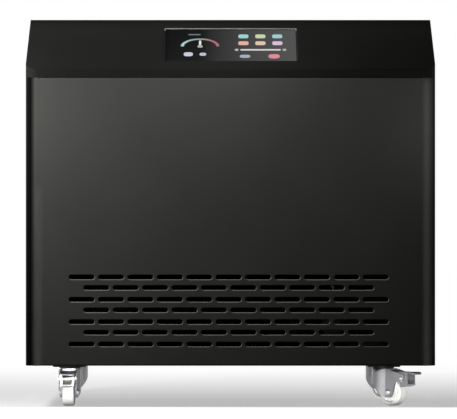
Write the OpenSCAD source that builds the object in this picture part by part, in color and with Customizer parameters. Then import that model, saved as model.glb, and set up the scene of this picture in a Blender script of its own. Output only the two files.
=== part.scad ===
// Water chiller in a sheet cabinet on four swivel casters
// X runs to the right, Y to the back and Z up, from the floor under the middle of its box

/* [Cabinet] */
// Width of the cabinet
cabinet_w = 560; // [480:5:660]
// Depth of the cabinet without the water fittings
cabinet_d = 400; // [390:5:460]
// Height of the front, side and rear panels
panel_h = 393; // [385:1:450]
// Thickness of the cabinet sheet
sheet_t = 1.2; // [1:0.1:1.6]
// Radius of the upright front edges
corner_r = 18; // [9:1:20]
// Outer radius of the other folds in the cabinet sheet
fold_r = 2.5; // [2.2:0.1:4]
// Depth of the front panel's side returns
return_d = 26; // [24:1:28]
// Depth of the flanges folded inward
flange_d = 14; // [10:1:16]
// Thickness of the base pan
pan_t = 1.5; // [1.2:0.1:2]
// Height of the base pan's rim
rim_h = 22; // [15:1:30]

/* [Hood] */
// Height of the lip over the front panel
lip_h = 10.5; // [9:0.5:20]
// Height that the control deck rises
slope_rise = 75; // [60:1:100]
// Depth that the control deck runs back
slope_run = 152; // [148:1:180]
// Outer radius of the hood's folds
hood_fold_r = 4; // [3:0.5:6]

/* [Display] */
// Width of the display window
display_w = 185.5; // [150:0.5:220]
// Height of the display window along the deck
display_h = 115; // [90:0.5:120]
// Lower edge of the window above the deck's lower edge
display_low = 29; // [22:1:34]
// Depth of the glass under the deck's face
glass_recess = 2; // [1.8:0.1:3]

/* [Vent slots] */
// Length of a slot
slot_l = 35; // [28:1:37]
// Width of a slot
slot_w = 6; // [4:0.5:8]
// Distance between slots in a row
slot_step = 40.1; // [38:0.1:44]
// Slots in a long row
slot_count = 11; // [7:1:12]
// Number of long rows
long_rows = 4; // [2:1:6]
// Distance between long rows
row_pair = 30.5; // [26:0.5:36]
// Drop from a long row to the short row under it
row_drop = 14.4; // [12:0.1:17]
// Height of the lowest row above the panel's lower edge
slot_low = 29.3; // [24:0.1:60]
// Sideways place of the vent field, to the left of the middle
slot_shift = 2.4; // [0:0.1:6]

/* [Casters] */
// Radius of a wheel
wheel_r = 18.5; // [17:0.5:20]
// Width of a wheel
wheel_w = 16; // [13:0.5:18]
// Height of the fork's crown over the floor
crown_z = 51.2; // [50:0.1:54]
// Distance from the swivel axis to the axle
trail = 17; // [15:0.5:19]
// Radius of the fork's round head
crown_r = 15.5; // [14:0.5:16.5]
// Thickness of the fork's steel
fork_t = 2; // [1.6:0.1:2.4]
// Gap between the wheel and each leg
leg_gap = 1.4; // [1:0.1:2]
// Side of the square mounting plate
caster_plate_w = 46; // [42:1:52]
// Distance between bolts of the mounting plate
bolt_step = 34; // [33:0.5:36]
// Height of the swivel race
race_h = 4.5; // [4:0.1:7]
// Distance of the swivel axes from the cabinet's sides
caster_inset_x = 63.5; // [55:0.5:90]
// Distance of the swivel axes from the cabinet's front and back
caster_inset_y = 66; // [62:1:90]
// Sideways place of all the casters, to the left of the middle
caster_shift = 5.2; // [0:0.1:8]
// Distance from the swivel axis to the pedal's pin
pedal_pin_u = 40.5; // [39:0.5:44]
// Height of the pedal's pin over the floor
pedal_pin_z = 38.5; // [37.5:0.5:40]
// Distance from the swivel axis to the pedal's tip
pedal_reach = 61; // [56:0.5:64]

/* [Air path] */
// Distance of the fan's tips from the nearer sides of the condenser
fan_margin = 12; // [8:1:30]
// Number of fan blades
blade_count = 5; // [3:1:7]
// Distance of the condenser from the cabinet's left side
condenser_side = 35; // [32:1:45]
// Distance of the shelf over the condenser under the upper edge of the panels
shelf_drop = 44.9; // [36:0.1:54]
// Depth of the condenser's fins
fin_d = 40; // [30:1:44]
// Number of fins
fin_count = 32; // [20:1:36]
// Number of tubes across the fins
tube_rows = 10; // [8:2:10]

/* [Refrigeration set] */
// Radius of the compressor shell
compressor_r = 64; // [56:1:66]
// Height of the compressor shell
compressor_h = 205; // [180:1:210]
// Radius of the heat exchanger barrel
barrel_r = 60; // [52:1:70]
// Height of the heat exchanger barrel
barrel_h = 290; // [270:1:300]
// Radius of the refrigerant lines
line_r = 5; // [4:0.5:6]
// Bend radius of the refrigerant lines
line_bend = 9; // [8:0.5:9.5]

/* [Water path] */
// Radius of the threaded water fittings
thread_r = 13.2; // [12:0.1:14]
// Bore radius of the water fittings
water_bore_r = 8.5; // [7:0.1:9]
// Distance that the water fittings stand behind the cabinet
fitting_reach = 38; // [30:1:50]
// Outer radius of the hoses
hose_r = 13; // [12:0.5:14]
// Radius of the pump motor
pump_r = 38; // [34:1:39]
// Length of the pump motor
pump_l = 85; // [70:1:90]

/* [Hidden] */

$fn = 48;
// Segments in a small drawn arc and in a large one
arc_n = 5;
big_arc_n = 10;
// Distance that a cut runs past a face
cut_over = 1;
// Shortest stretch that is drawn
tiny = 0.01;
// Gap of a visible seam, gap under a seated piece and radial gap of a running fit
seam_gap = 0.4;
seat_gap = 0.2;
run_gap = 0.08;
swivel_gap = 0.3;

// Levels from the floor up
race_z = crown_z + swivel_gap;
caster_plate_t = 2;
caster_plate_z = race_z + race_h;
pan_z = caster_plate_z + caster_plate_t + seat_gap;
pan_top = pan_z + pan_t;
cabinet_z = pan_z - seat_gap - sheet_t;
panel_top = cabinet_z + panel_h;
hood_z = panel_top + seam_gap;
lip_top = hood_z + lip_h;
hood_top = lip_top + slope_rise;

// Faces of the cabinet
half_w = cabinet_w / 2;
front_y = -(cabinet_d + fitting_reach) / 2;
rear_y = front_y + cabinet_d;
slope_a = atan2(slope_rise, slope_run);
skin = sheet_t + seat_gap;
pan_x = half_w - skin;
pan_front = front_y + skin;
pan_rear = rear_y - 2 * skin;

// Posts inside the pan's rim
post_t = 1.5;
post_leg = 36;
post_rise = 30;
post_inset = pan_t + seat_gap;
post_x = pan_x - post_inset;
post_front = pan_front + post_inset;
post_rear = pan_rear - post_inset;

// Screws of the panels
screw_r = 2;
screw_head_r = 3.8;
screw_head_h = 1.8;
screw_l = 8;
screw_hole_r = screw_r + run_gap;
screw_margin = 40;
screw_levels = [cabinet_z + screw_margin, cabinet_z + panel_h / 2, panel_top - screw_margin];
hood_screw_z = hood_z + post_rise / 2;
side_screw_ys = [front_y + return_d + seam_gap + 2 * screw_head_r, post_rear - post_leg / 2];
rear_screw_x = post_x - post_leg / 2;

// Vector helpers
function unit(v) = v / norm(v);
function left_of(d) = [-d.y, d.x];
function turned(v, a) = [v.x * cos(a) - v.y * sin(a), v.x * sin(a) + v.y * cos(a)];
function side_of(a, b) = sign(a.x * b.y - a.y * b.x);
function reversed(v) = [for (i = [len(v) - 1 : -1 : 0]) v[i]];

// Arc in the corner p between headings d1 and d2, shifted s to the left of the path
function bend_points(p, d1, d2, r, s, n) =
    let (
        k = side_of(d1, d2),
        n1 = left_of(d1),
        n2 = left_of(d2),
        centre = p + k * r * (n1 + n2) / (1 + n1 * n2),
        swing = k * acos(d1 * d2)
    )
    [for (j = [0 : n]) centre - k * (r - k * s) * turned(n1, swing * j / n)];

// A closed outline with a radius in each corner
function rounded(pts, radii, n = arc_n) = [
    for (i = [0 : len(pts) - 1])
        let (
            p = pts[i],
            before = unit(p - pts[(i + len(pts) - 1) % len(pts)]),
            after = unit(pts[(i + 1) % len(pts)] - p)
        )
        each radii[i] == 0 ? [p] : bend_points(p, before, after, radii[i], 0, n)
];

// One face of a folded sheet whose path is bent to radius r
function sheet_side(path, r, s, n = arc_n) = [
    for (i = [0 : len(path) - 1])
        let (
            last = len(path) - 1,
            before = unit(path[max(i, 1)] - path[max(i, 1) - 1]),
            after = unit(path[min(i, last - 1) + 1] - path[min(i, last - 1)])
        )
        each i == 0 || i == last
            ? [path[i] + s * left_of(i == 0 ? after : before)]
            : bend_points(path[i], before, after, r, s, n)
];

function folded(path, r, t, n = arc_n) = concat(sheet_side(path, r, 0, n), reversed(sheet_side(path, r, t, n)));
function box_points(x0, x1, y0, y1) = [[x0, y0], [x1, y0], [x1, y1], [x0, y1]];
function slot_points(l, w) = [
    for (end = [0, 1], j = [0 : arc_n])
        let (a = 180 * (end + j / arc_n) - 90)
        [(1 - 2 * end) * (l - w) / 2 + w / 2 * cos(a), w / 2 * sin(a)]
];

// Extrusion of a Y-Z outline along X, centred
module along_x(w) {
    translate([-w / 2, 0, 0]) rotate([90, 0, 90]) linear_extrude(w) children();
}

// Extrusion of an X-Z outline along Y, from y0 to y1
module along_y(y0, y1) {
    translate([0, y1, 0]) rotate([90, 0, 0]) linear_extrude(y1 - y0) children();
}

module rounded_plate(w, d, t, r) {
    linear_extrude(t) polygon(rounded(box_points(-w / 2, w / 2, -d / 2, d / 2), [r, r, r, r]));
}

// Round section, hollow where it has a bore
module section(r, bore) {
    difference() {
        circle(r);
        if (bore > 0) circle(bore);
    }
}

// Straight bar or tube from a to b
module rod(a, b, r, bore = 0) {
    d = b - a;
    translate(a) rotate([0, acos(d.z / norm(d)), atan2(d.y, d.x)]) linear_extrude(norm(d)) section(r, bore);
}

// Elbow in the corner p between headings d1 and d2
module elbow(p, d1, d2, r, bend, bore = 0) {
    a = acos(d1 * d2);
    inward = unit(d2 - (d1 * d2) * d1);
    centre = p - d1 * bend * tan(a / 2) + inward * bend;
    across = cross(-inward, d1);
    multmatrix([
        [-inward.x, d1.x, across.x, centre.x],
        [-inward.y, d1.y, across.y, centre.y],
        [-inward.z, d1.z, across.z, centre.z]
    ]) rotate_extrude(angle = a) translate([bend, 0]) section(r, bore);
}

// Round bar or tube along a path with bent corners
module bent_bar(path, r, bend, bore = 0) {
    last = len(path) - 1;
    heading = [for (i = [0 : last - 1]) unit(path[i + 1] - path[i])];
    back = [for (i = [0 : last]) i == 0 || i == last ? 0 : bend * tan(acos(heading[i - 1] * heading[i]) / 2)];
    for (i = [0 : last - 1]) {
        a = path[i] + back[i] * heading[i];
        b = path[i + 1] - back[i + 1] * heading[i];
        if (norm(b - a) > tiny) rod(a, b, r, bore);
    }
    for (i = [1 : last - 1]) elbow(path[i], heading[i - 1], heading[i], r, bend, bore);
}

// Places of the panel screws, with +Z out of the panel
module at_side_screws(zs, ys) {
    for (side = [-1, 1], y = ys, z = zs) translate([side * half_w, y, z]) rotate([0, side * 90, 0]) children();
}

module at_rear_screws(zs) {
    for (side = [-1, 1], z = zs) translate([side * rear_screw_x, rear_y, z]) rotate([-90, 0, 0]) children();
}

module at_hood_screws() {
    at_side_screws([hood_screw_z], [side_screw_ys[1]]) children();
    at_rear_screws([hood_screw_z]) children();
}

module screw_hole() {
    translate([0, 0, -screw_l - cut_over]) cylinder(h = screw_l + 2 * cut_over, r = screw_hole_r);
    translate([0, 0, -screw_head_h]) cylinder(h = screw_head_h, r1 = screw_hole_r, r2 = screw_head_r + run_gap);
    cylinder(h = cut_over, r = screw_head_r + run_gap);
}

// Casters: place and heading of each
caster_half_x = half_w - caster_inset_x;
caster_front_y = front_y + caster_inset_y;
caster_rear_y = rear_y - caster_inset_y;
front_left = [-caster_half_x - caster_shift, caster_front_y, -92];
front_right = [caster_half_x - caster_shift, caster_front_y, -42];
rear_left = [-caster_half_x - caster_shift, caster_rear_y, -124];
rear_right = [caster_half_x - caster_shift, caster_rear_y, -62];
casters = [front_left, front_right, rear_left, rear_right];

module at_caster(place) {
    translate([place.x, place.y, 0]) rotate([0, 0, place.z]) children();
}

module at_caster_bolts() {
    for (place = casters, x = [-1, 1], y = [-1, 1])
        translate([place.x + x * bolt_step / 2, place.y + y * bolt_step / 2, 0]) children();
}

// Base pan with its upturned rim
module base_pan() {
    front_r = corner_r - skin;
    rear_r = fold_r - skin;
    color("#202020")
    difference() {
        intersection() {
            translate([0, 0, pan_z]) linear_extrude(rim_h)
                polygon(rounded(box_points(-pan_x, pan_x, pan_front, pan_rear), [front_r, front_r, rear_r, rear_r]));
            along_x(cabinet_w)
                polygon(rounded(box_points(pan_front, pan_rear, pan_z, pan_z + rim_h), [rear_r, rear_r, 0, 0]));
        }
        translate([0, 0, pan_top]) linear_extrude(rim_h)
            polygon(rounded(
                box_points(-pan_x + pan_t, pan_x - pan_t, pan_front + pan_t, pan_rear - pan_t),
                [front_r - pan_t, front_r - pan_t, 0, 0]
            ));
        at_caster_bolts() translate([0, 0, pan_z - cut_over])
            cylinder(h = pan_t + 2 * cut_over, r = bolt_r + run_gap);
    }
}

// Front panel: side returns round the upright edges, folds along the top and the bottom, vent slots
module front_panel() {
    flat_w = cabinet_w - 2 * corner_r;
    fold_h = 2 * fold_r;
    wrap = [
        [-half_w, front_y + return_d], [-half_w, front_y],
        [half_w, front_y], [half_w, front_y + return_d]
    ];
    low_fold = [[front_y, cabinet_z + fold_h], [front_y, cabinet_z], [front_y + flange_d, cabinet_z]];
    top_fold = [[front_y + flange_d, panel_top], [front_y, panel_top], [front_y, panel_top - fold_h]];
    color("#2b2c2c")
    difference() {
        union() {
            difference() {
                translate([0, 0, cabinet_z]) linear_extrude(panel_h)
                    polygon(folded(wrap, corner_r, sheet_t, big_arc_n));
                for (z = [cabinet_z - fold_h, panel_top - fold_h])
                    translate([-flat_w / 2, front_y - cut_over, z])
                        cube([flat_w, sheet_t + 2 * cut_over, 2 * fold_h]);
            }
            along_x(flat_w) polygon(folded(low_fold, fold_r, sheet_t));
            along_x(flat_w) polygon(folded(top_fold, fold_r, sheet_t));
        }
        for (row = [0 : long_rows - 1], i = [0 : slot_count - 1])
            vent_slot((i - (slot_count - 1) / 2) * slot_step, slot_low + row * row_pair);
        for (row = [1 : long_rows - 1], i = [0 : slot_count - 2])
            vent_slot((i - (slot_count - 2) / 2) * slot_step, slot_low + row * row_pair - row_drop);
    }
}

module vent_slot(x, z) {
    translate([x - slot_shift, 0, cabinet_z + z])
        along_y(front_y - cut_over, front_y + sheet_t + cut_over) polygon(slot_points(slot_l, slot_w));
}

// Side panel with its rear flange, drawn on the left
module side_panel() {
    start_y = front_y + return_d + seam_gap;
    end_y = rear_y - skin;
    path = [[-half_w, start_y], [-half_w, end_y], [-half_w + flange_d, end_y]];
    difference() {
        translate([0, 0, cabinet_z]) linear_extrude(panel_h) polygon(folded(path, fold_r, -sheet_t));
        at_side_screws(screw_levels, side_screw_ys) screw_hole();
    }
}

module left_side_panel() {
    color("#262727") side_panel();
}

module right_side_panel() {
    color("#262727") mirror([1, 0, 0]) side_panel();
}

// Rear panel with the fan outlet, the two water ports, the cable gland and the switch
module rear_panel() {
    rear_half = half_w - fold_r;
    row_h = row_pair / 2;
    rows = floor(fan_r / row_h);
    cols = ceil(fan_r / slot_step);
    color("#262727")
    difference() {
        along_y(rear_y - sheet_t, rear_y)
            polygon(box_points(-rear_half, rear_half, cabinet_z, panel_top));
        for (row = [-rows : rows], col = [-cols : cols]) {
            x = (col + (abs(row) % 2) / 2) * slot_step;
            if (norm([abs(x) + slot_l / 2, row * row_h]) < fan_r)
                translate([fan_x + x, 0, fan_z + row * row_h])
                    along_y(rear_y - sheet_t - cut_over, rear_y + cut_over) polygon(slot_points(slot_l, slot_w));
        }
        for (place = [inlet_at, outlet_at]) at_port(place) panel_hole(thread_r + run_gap);
        at_port(gland_at) panel_hole(gland_r + run_gap);
        at_port(switch_at) translate([0, 0, -sheet_t - cut_over])
            linear_extrude(sheet_t + 2 * cut_over) square([switch_w + seat_gap, switch_h + seat_gap], center = true);
        at_rear_screws(screw_levels) screw_hole();
    }
}

module at_port(place) {
    translate([place.x, rear_y, place.y]) rotate([-90, 0, 0]) children();
}

module panel_hole(r) {
    translate([0, 0, -sheet_t - cut_over]) cylinder(h = sheet_t + 2 * cut_over, r = r);
}

// Hood: folded along the lip, the deck, the top and the rear, with upright cheeks
module hood_solid(inset, low_z) {
    path = [
        [front_y, low_z], [front_y, lip_top], [front_y + slope_run, hood_top],
        [rear_y, hood_top], [rear_y, low_z]
    ];
    plan = box_points(-half_w + inset, half_w - inset, front_y + inset, rear_y - inset);
    front_r = corner_r - inset;
    rear_r = fold_r - inset;
    intersection() {
        along_x(cabinet_w) polygon(sheet_side(path, hood_fold_r, -inset));
        linear_extrude(hood_top + cut_over) polygon(rounded(plan, [front_r, front_r, rear_r, rear_r], big_arc_n));
    }
}

module on_deck() {
    translate([0, front_y, lip_top]) rotate([slope_a, 0, 0]) children();
}

module at_window() {
    on_deck() translate([0, display_low + display_h / 2, 0]) children();
}

module hood() {
    window_r = 2;
    color("#1f1f1f")
    difference() {
        hood_solid(0, hood_z);
        hood_solid(sheet_t, hood_z - cut_over);
        at_window() translate([0, 0, -sheet_t - cut_over])
            rounded_plate(display_w, display_h, sheet_t + 2 * cut_over, window_r);
        at_hood_screws() screw_hole();
    }
}

// Angle posts that carry the panels
module corner_posts() {
    post_z = pan_top + seat_gap;
    front_path = [
        [-post_x, post_front + post_leg], [-post_x, post_front], [-post_x + post_leg, post_front]
    ];
    rear_path = [
        [-post_x + post_leg, post_rear], [-post_x, post_rear], [-post_x, post_rear - post_leg]
    ];
    color("#3a3b3c")
    difference() {
        for (side = [0, 1]) mirror([side, 0, 0]) {
            translate([0, 0, post_z]) linear_extrude(panel_top - skin - post_z)
                polygon(folded(front_path, corner_r - skin, post_t));
            translate([0, 0, post_z]) linear_extrude(hood_z + post_rise - post_z)
                polygon(folded(rear_path, fold_r, post_t));
        }
        at_side_screws(screw_levels, side_screw_ys) screw_hole();
        at_rear_screws(screw_levels) screw_hole();
        at_hood_screws() screw_hole();
    }
}

// Shelf over the condenser, with edges folded down
shelf_t = 1.2;
module inner_shelf() {
    edge_h = 10;
    shelf_x = post_x - post_t - seat_gap;
    shelf_front = condenser_y - flange_d;
    shelf_rear = post_rear - fold_r;
    path = [
        [shelf_front, shelf_z - edge_h], [shelf_front, shelf_z + shelf_t], [shelf_rear, shelf_z + shelf_t]
    ];
    color("#8d9194")
    along_x(2 * shelf_x) polygon(folded(path, fold_r, -shelf_t));
}

// Countersunk screw with a crossed recess
module panel_screw() {
    recess = [4.4, 0.9, 1.1];
    difference() {
        union() {
            translate([0, 0, -screw_head_h]) cylinder(h = screw_head_h, r1 = screw_r, r2 = screw_head_r);
            translate([0, 0, -screw_l]) cylinder(h = screw_l, r = screw_r);
        }
        for (a = [0, 90]) rotate(a) translate([-recess.x / 2, -recess.y / 2, -recess.z])
            cube([recess.x, recess.y, recess.z + cut_over]);
    }
}

module panel_screws() {
    color("#2a2a2a") {
        at_side_screws(screw_levels, side_screw_ys) panel_screw();
        at_rear_screws(screw_levels) panel_screw();
        at_hood_screws() panel_screw();
    }
}

// Display parts, stacked down from the deck's face
bezel_t = 5;
bezel_margin = 12;
glass_t = 2;
glass_gap = 0.3;
ledge_w = 4;
bezel_z = -skin - bezel_t;
glass_z = -glass_recess - glass_t;
module_t = 9;
module_z = bezel_z - seat_gap - module_t;
standoff_h = 6;
standoff_r = 3.5;
board_t = 1.6;
board_z = module_z - seat_gap - standoff_h - board_t;

module display_bezel() {
    bezel_r = 6;
    color("#141414")
    at_window() difference() {
        translate([0, 0, bezel_z])
            rounded_plate(display_w + 2 * bezel_margin, display_h + 2 * bezel_margin, bezel_t, bezel_r);
        translate([0, 0, glass_z - seat_gap])
            rounded_plate(display_w, display_h, glass_recess + glass_t, glass_t);
        translate([0, 0, bezel_z - cut_over])
            rounded_plate(display_w - 2 * ledge_w, display_h - 2 * ledge_w, bezel_t, glass_t);
    }
}

module display_glass() {
    color("#0c0c0e")
    at_window() translate([0, 0, glass_z])
        rounded_plate(display_w - 2 * glass_gap, display_h - 2 * glass_gap, glass_t, glass_t);
}

module display_module() {
    back_t = 3;
    color("#b4b8bb")
    at_window() {
        translate([0, 0, module_z + back_t])
            rounded_plate(display_w - ledge_w, display_h - ledge_w, module_t - back_t, glass_t);
        translate([0, 0, module_z])
            rounded_plate(display_w - bezel_margin, display_h - bezel_margin, back_t, glass_t);
    }
}

module display_board() {
    board_w = display_w - 2 * bezel_margin;
    board_h = display_h - 2 * bezel_margin;
    chip = [20, 20, 2.5];
    plug = [34, 9, 8];
    color("#1f5a3a")
    at_window() {
        translate([0, 0, board_z]) rounded_plate(board_w, board_h, board_t, glass_t);
        for (x = [-1, 1], y = [-1, 1])
            translate([x * (board_w / 2 - standoff_r), y * (board_h / 2 - standoff_r), board_z])
                cylinder(h = board_t + standoff_h, r = standoff_r);
        translate([-chip.x / 2, -chip.y / 2, board_z - chip.z]) cube([chip.x, chip.y, chip.z + board_t / 2]);
        for (x = [-board_w / 2 + standoff_r, board_w / 2 - standoff_r - plug.x])
            translate([x, -board_h / 2 + standoff_r, board_z - plug.z]) cube([plug.x, plug.y, plug.z + board_t / 2]);
    }
}

// Control box on the shelf
module control_box() {
    box_w = 180;
    box_d = 110;
    box_h = 55;
    cover_h = 12;
    cover_over = 2;
    box_r = 5;
    entry_r = 8;
    entry_l = 10;
    entry_step = 45;
    color("#9ba0a3")
    translate([fan_x, rear_y - box_d / 2 - post_leg, shelf_z + shelf_t + seat_gap]) {
        rounded_plate(box_w, box_d, box_h, box_r);
        translate([0, 0, box_h])
            rounded_plate(box_w + 2 * cover_over, box_d + 2 * cover_over, cover_h, box_r + cover_over);
        for (i = [-1 : 1])
            translate([box_w / 2, i * entry_step / 2, box_h / 2]) rotate([0, 90, 0]) cylinder(h = entry_l, r = entry_r);
    }
}

// Compressor, its feet and its accumulator
compressor_inset = [110, 105];
compressor_at = [-half_w + compressor_inset.x, front_y + compressor_inset.y];
foot_reach = 82;
grommet_r = 13;
grommet_h = 22;
foot_t = 3;
foot_z = pan_top + seat_gap + grommet_h;
shell_z = foot_z + foot_t;
shell_top = shell_z + compressor_h;
foot_angles = [60, 180, 300];
socket_floor = 2;
line_socket = 2;
socket_r = line_r + line_socket;

module at_compressor() {
    translate([compressor_at.x, compressor_at.y, 0]) children();
}

module compressor() {
    dome_share = 0.5;
    dome_r = compressor_r * dome_share;
    seam_r = 2;
    stub_h = 14;
    box = [46, 30, 60];
    profile = [[0, 0], [compressor_r, 0], [compressor_r, compressor_h], [0, compressor_h]];
    foot_r = grommet_r + foot_t;
    foot_pts = [for (a = foot_angles) (foot_reach + foot_r) * [cos(a), sin(a)]];
    color("#17181a")
    at_compressor() difference() {
        union() {
            translate([0, 0, shell_z]) rotate_extrude()
                polygon(rounded(profile, [0, dome_r, dome_r, 0], big_arc_n));
            for (z = [shell_z + dome_r, shell_top - dome_r])
                translate([0, 0, z - seam_r]) cylinder(h = 2 * seam_r, r = compressor_r + seam_r);
            translate([0, 0, foot_z]) linear_extrude(2 * foot_t)
                difference() {
                    union() {
                        circle(compressor_r / 2);
                        for (a = foot_angles) rotate(a) translate([0, -foot_r]) square([foot_reach, 2 * foot_r]);
                        for (a = foot_angles) rotate(a) translate([foot_reach, 0]) circle(foot_r);
                    }
                    for (a = foot_angles) rotate(a) translate([foot_reach, 0]) circle(bolt_r + seat_gap);
                }
            translate([0, 0, shell_top - tiny]) cylinder(h = stub_h, r = socket_r);
            translate([-box.x / 2, -compressor_r - box.y / 2, shell_z + dome_r + 2 * seam_r])
                linear_extrude(box.z) polygon(rounded(
                    box_points(0, box.x, 0, box.y), [foot_t, foot_t, foot_t, foot_t]
                ));
        }
        translate([0, 0, shell_top + socket_floor]) cylinder(h = stub_h, r = line_r + run_gap);
    }
}

module compressor_grommets() {
    waist_in = 3;
    waist_r = grommet_r - waist_in;
    lip_share = 1 / 3;
    lip_l = grommet_h * lip_share;
    color("#101010")
    at_compressor() for (a = foot_angles) rotate(a) translate([foot_reach, 0, pan_top + seat_gap]) {
        cylinder(h = lip_l, r = grommet_r);
        cylinder(h = grommet_h - seat_gap, r = waist_r);
        translate([0, 0, grommet_h - lip_l]) cylinder(h = lip_l - seat_gap, r = grommet_r);
        cylinder(h = grommet_h + 2 * foot_t + lip_l, r = bolt_r);
        translate([0, 0, grommet_h + 2 * foot_t + seat_gap]) cylinder(h = lip_l / 2, r = 2 * bolt_r, $fn = 6);
    }
}

accumulator_r = 28;
accumulator_h = 140;
accumulator_stub_h = 12;
// Way from the compressor to the accumulator, one long
accumulator_way_share = [0.96, -0.28];
accumulator_rise = 32;
accumulator_z = shell_z + accumulator_rise;
accumulator_top = accumulator_z + accumulator_h;
accumulator_gap = 2;
accumulator_off = compressor_r + accumulator_gap + accumulator_r;
accumulator_at = compressor_at + accumulator_off * accumulator_way_share;

module suction_accumulator() {
    dome_share = 0.75;
    dome_r = accumulator_r * dome_share;
    strap_w = 20;
    strap_h = 30;
    profile = [[0, 0], [accumulator_r, 0], [accumulator_r, accumulator_h], [0, accumulator_h]];
    color("#1b1c1e")
    translate([accumulator_at.x, accumulator_at.y, accumulator_z]) {
        rotate_extrude() polygon(rounded(profile, [0, dome_r, dome_r, 0], big_arc_n));
        cylinder(h = accumulator_h + accumulator_stub_h, r = socket_r);
        rotate(atan2(-accumulator_way_share.y, -accumulator_way_share.x)) translate([0, -strap_w / 2, accumulator_h / 2])
            cube([accumulator_off - compressor_r - seat_gap, strap_w, strap_h]);
    }
}

// Reversing valve over the compressor
valve_r = 15;
valve_l = 100;
valve_stub_wall = 1.5;
valve_stub_r = line_r + valve_stub_wall;
valve_stub_l = 12;
valve_step = 25;
valve_rise = 38;
valve_at = [accumulator_at.x, compressor_at.y, shell_top + valve_rise];
valve_under_z = valve_at.z - valve_r - valve_stub_l;
valve_over_z = valve_at.z + valve_r + valve_stub_l;

module reversing_valve() {
    cap_l = 6;
    cap_over = 1;
    coil = [34, 26, 30];
    pilot_r = 5;
    pilot_line_r = 4;
    pilot_gap = 14;
    color("#b0803f")
    translate([valve_at.x, valve_at.y, valve_at.z]) {
        rod([-valve_l / 2, 0, 0], [valve_l / 2, 0, 0], valve_r);
        for (side = [-1, 1])
            rod([side * valve_l / 2, 0, 0], [side * (valve_l / 2 - cap_l), 0, 0], valve_r + cap_over);
        for (x = [-valve_step, 0, valve_step]) rod([x, 0, -valve_r - valve_stub_l], [x, 0, 0], valve_stub_r);
        rod([0, 0, 0], [0, 0, valve_r + valve_stub_l], valve_stub_r);
        rod([-valve_l / 2 + cap_l, -valve_r - pilot_gap, 0], [valve_l / 2 - cap_l, -valve_r - pilot_gap, 0], pilot_r);
        for (x = [-valve_step, valve_step]) rod([x, -valve_r - pilot_gap, 0], [x, 0, 0], pilot_line_r);
        translate([-coil.x / 2, -valve_r - pilot_gap - coil.y / 2, -coil.z / 2])
            linear_extrude(coil.z) polygon(rounded(
                box_points(0, coil.x, 0, coil.y), [pilot_r, pilot_r, pilot_r, pilot_r]
            ));
    }
}

// Column of the water parts along the right side
exchanger_gap = 8;
exchanger_at = [half_w - barrel_r - exchanger_gap, compressor_at.y];
hose_wall = 3;
hose_bend = 22;
barb_r = hose_r - hose_wall - seat_gap;
barb_l = 14;
water_port_off = 23;
water_port_x = exchanger_at.x + water_port_off;
volute_r = 36;
pump_x = water_port_x - hose_bend - barb_l - volute_r - seam_gap;
drier_r = 15;
drier_gap = 22.6;
line_x = pump_x - pump_r - drier_gap - drier_r;

// Fan and condenser between the left side and that column, placed forward from the rear panel
line_off = 20;
tube_stub_l = 12;
condenser_left = -half_w + condenser_side;
tube_end_x = line_x - line_off;
condenser_w = tube_end_x - tube_stub_l - condenser_left;
fan_x = condenser_left + condenser_w / 2;
condenser_lift = 10;
condenser_z = pan_top + condenser_lift;
shelf_z = cabinet_z + panel_h - shelf_drop;
condenser_h = shelf_z - seat_gap - condenser_z;
fan_r = min(condenser_w, condenser_h) / 2 - fan_margin;
fan_z = condenser_z + condenser_h / 2;
tip_gap = 4;
collar_l = 44;
collar_gap = 6;
shroud_t = 1.2;
shroud_d = 62;
shroud_y = rear_y - sheet_t - collar_gap - collar_l;
shroud_front = shroud_y - shroud_d;
condenser_y = shroud_front - seat_gap - fin_d;
tube_r = 4.8;
tube_y = condenser_y + fin_d / 2;
tube_step = condenser_h / tube_rows;
tube_zs = [for (i = [0 : tube_rows - 1]) condenser_z + condenser_h - tube_step * (i + 1 / 2)];
end_plate_t = 1.5;
tube_out = 4;
fin_t = 0.6;
bracket_t = 2;
bracket_y = shroud_y - shroud_t - seat_gap - bracket_t;
shaft_r = 4;
hub_r = 30;
hub_l = 30;
hub_y = shroud_y + collar_gap;

module condenser_fins() {
    span = condenser_w - 2 * end_plate_t - 2 * tube_out;
    color("#9aa2a6")
    for (i = [0 : fin_count - 1])
        translate([fan_x + span * (i / (fin_count - 1) - 1 / 2), 0, 0]) fin(fin_t, condenser_z);
    color("#9aa2a6")
    for (side = [-1, 1])
        translate([fan_x + side * (condenser_w - end_plate_t) / 2, 0, 0]) fin(end_plate_t, pan_top + seat_gap);
}

module fin(t, low) {
    along_x(t) difference() {
        polygon(box_points(condenser_y, condenser_y + fin_d, low, condenser_z + condenser_h));
        for (z = tube_zs) translate([tube_y, z]) circle(tube_r + run_gap);
    }
}

module condenser_tube() {
    turn_r = tube_step / 2;
    turn_x = condenser_w / 2 + tube_out + turn_r;
    last = tube_rows - 1;
    turns = [
        for (i = [0 : last - 1])
            let (x = fan_x + (i % 2 == 0 ? -turn_x : turn_x))
            each [[x, tube_y, tube_zs[i]], [x, tube_y, tube_zs[i + 1]]]
    ];
    path = concat([[tube_end_x, tube_y, tube_zs[0]]], turns, [[tube_end_x, tube_y, tube_zs[last]]]);
    color("#b0703c") bent_bar(path, tube_r, turn_r);
}

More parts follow.
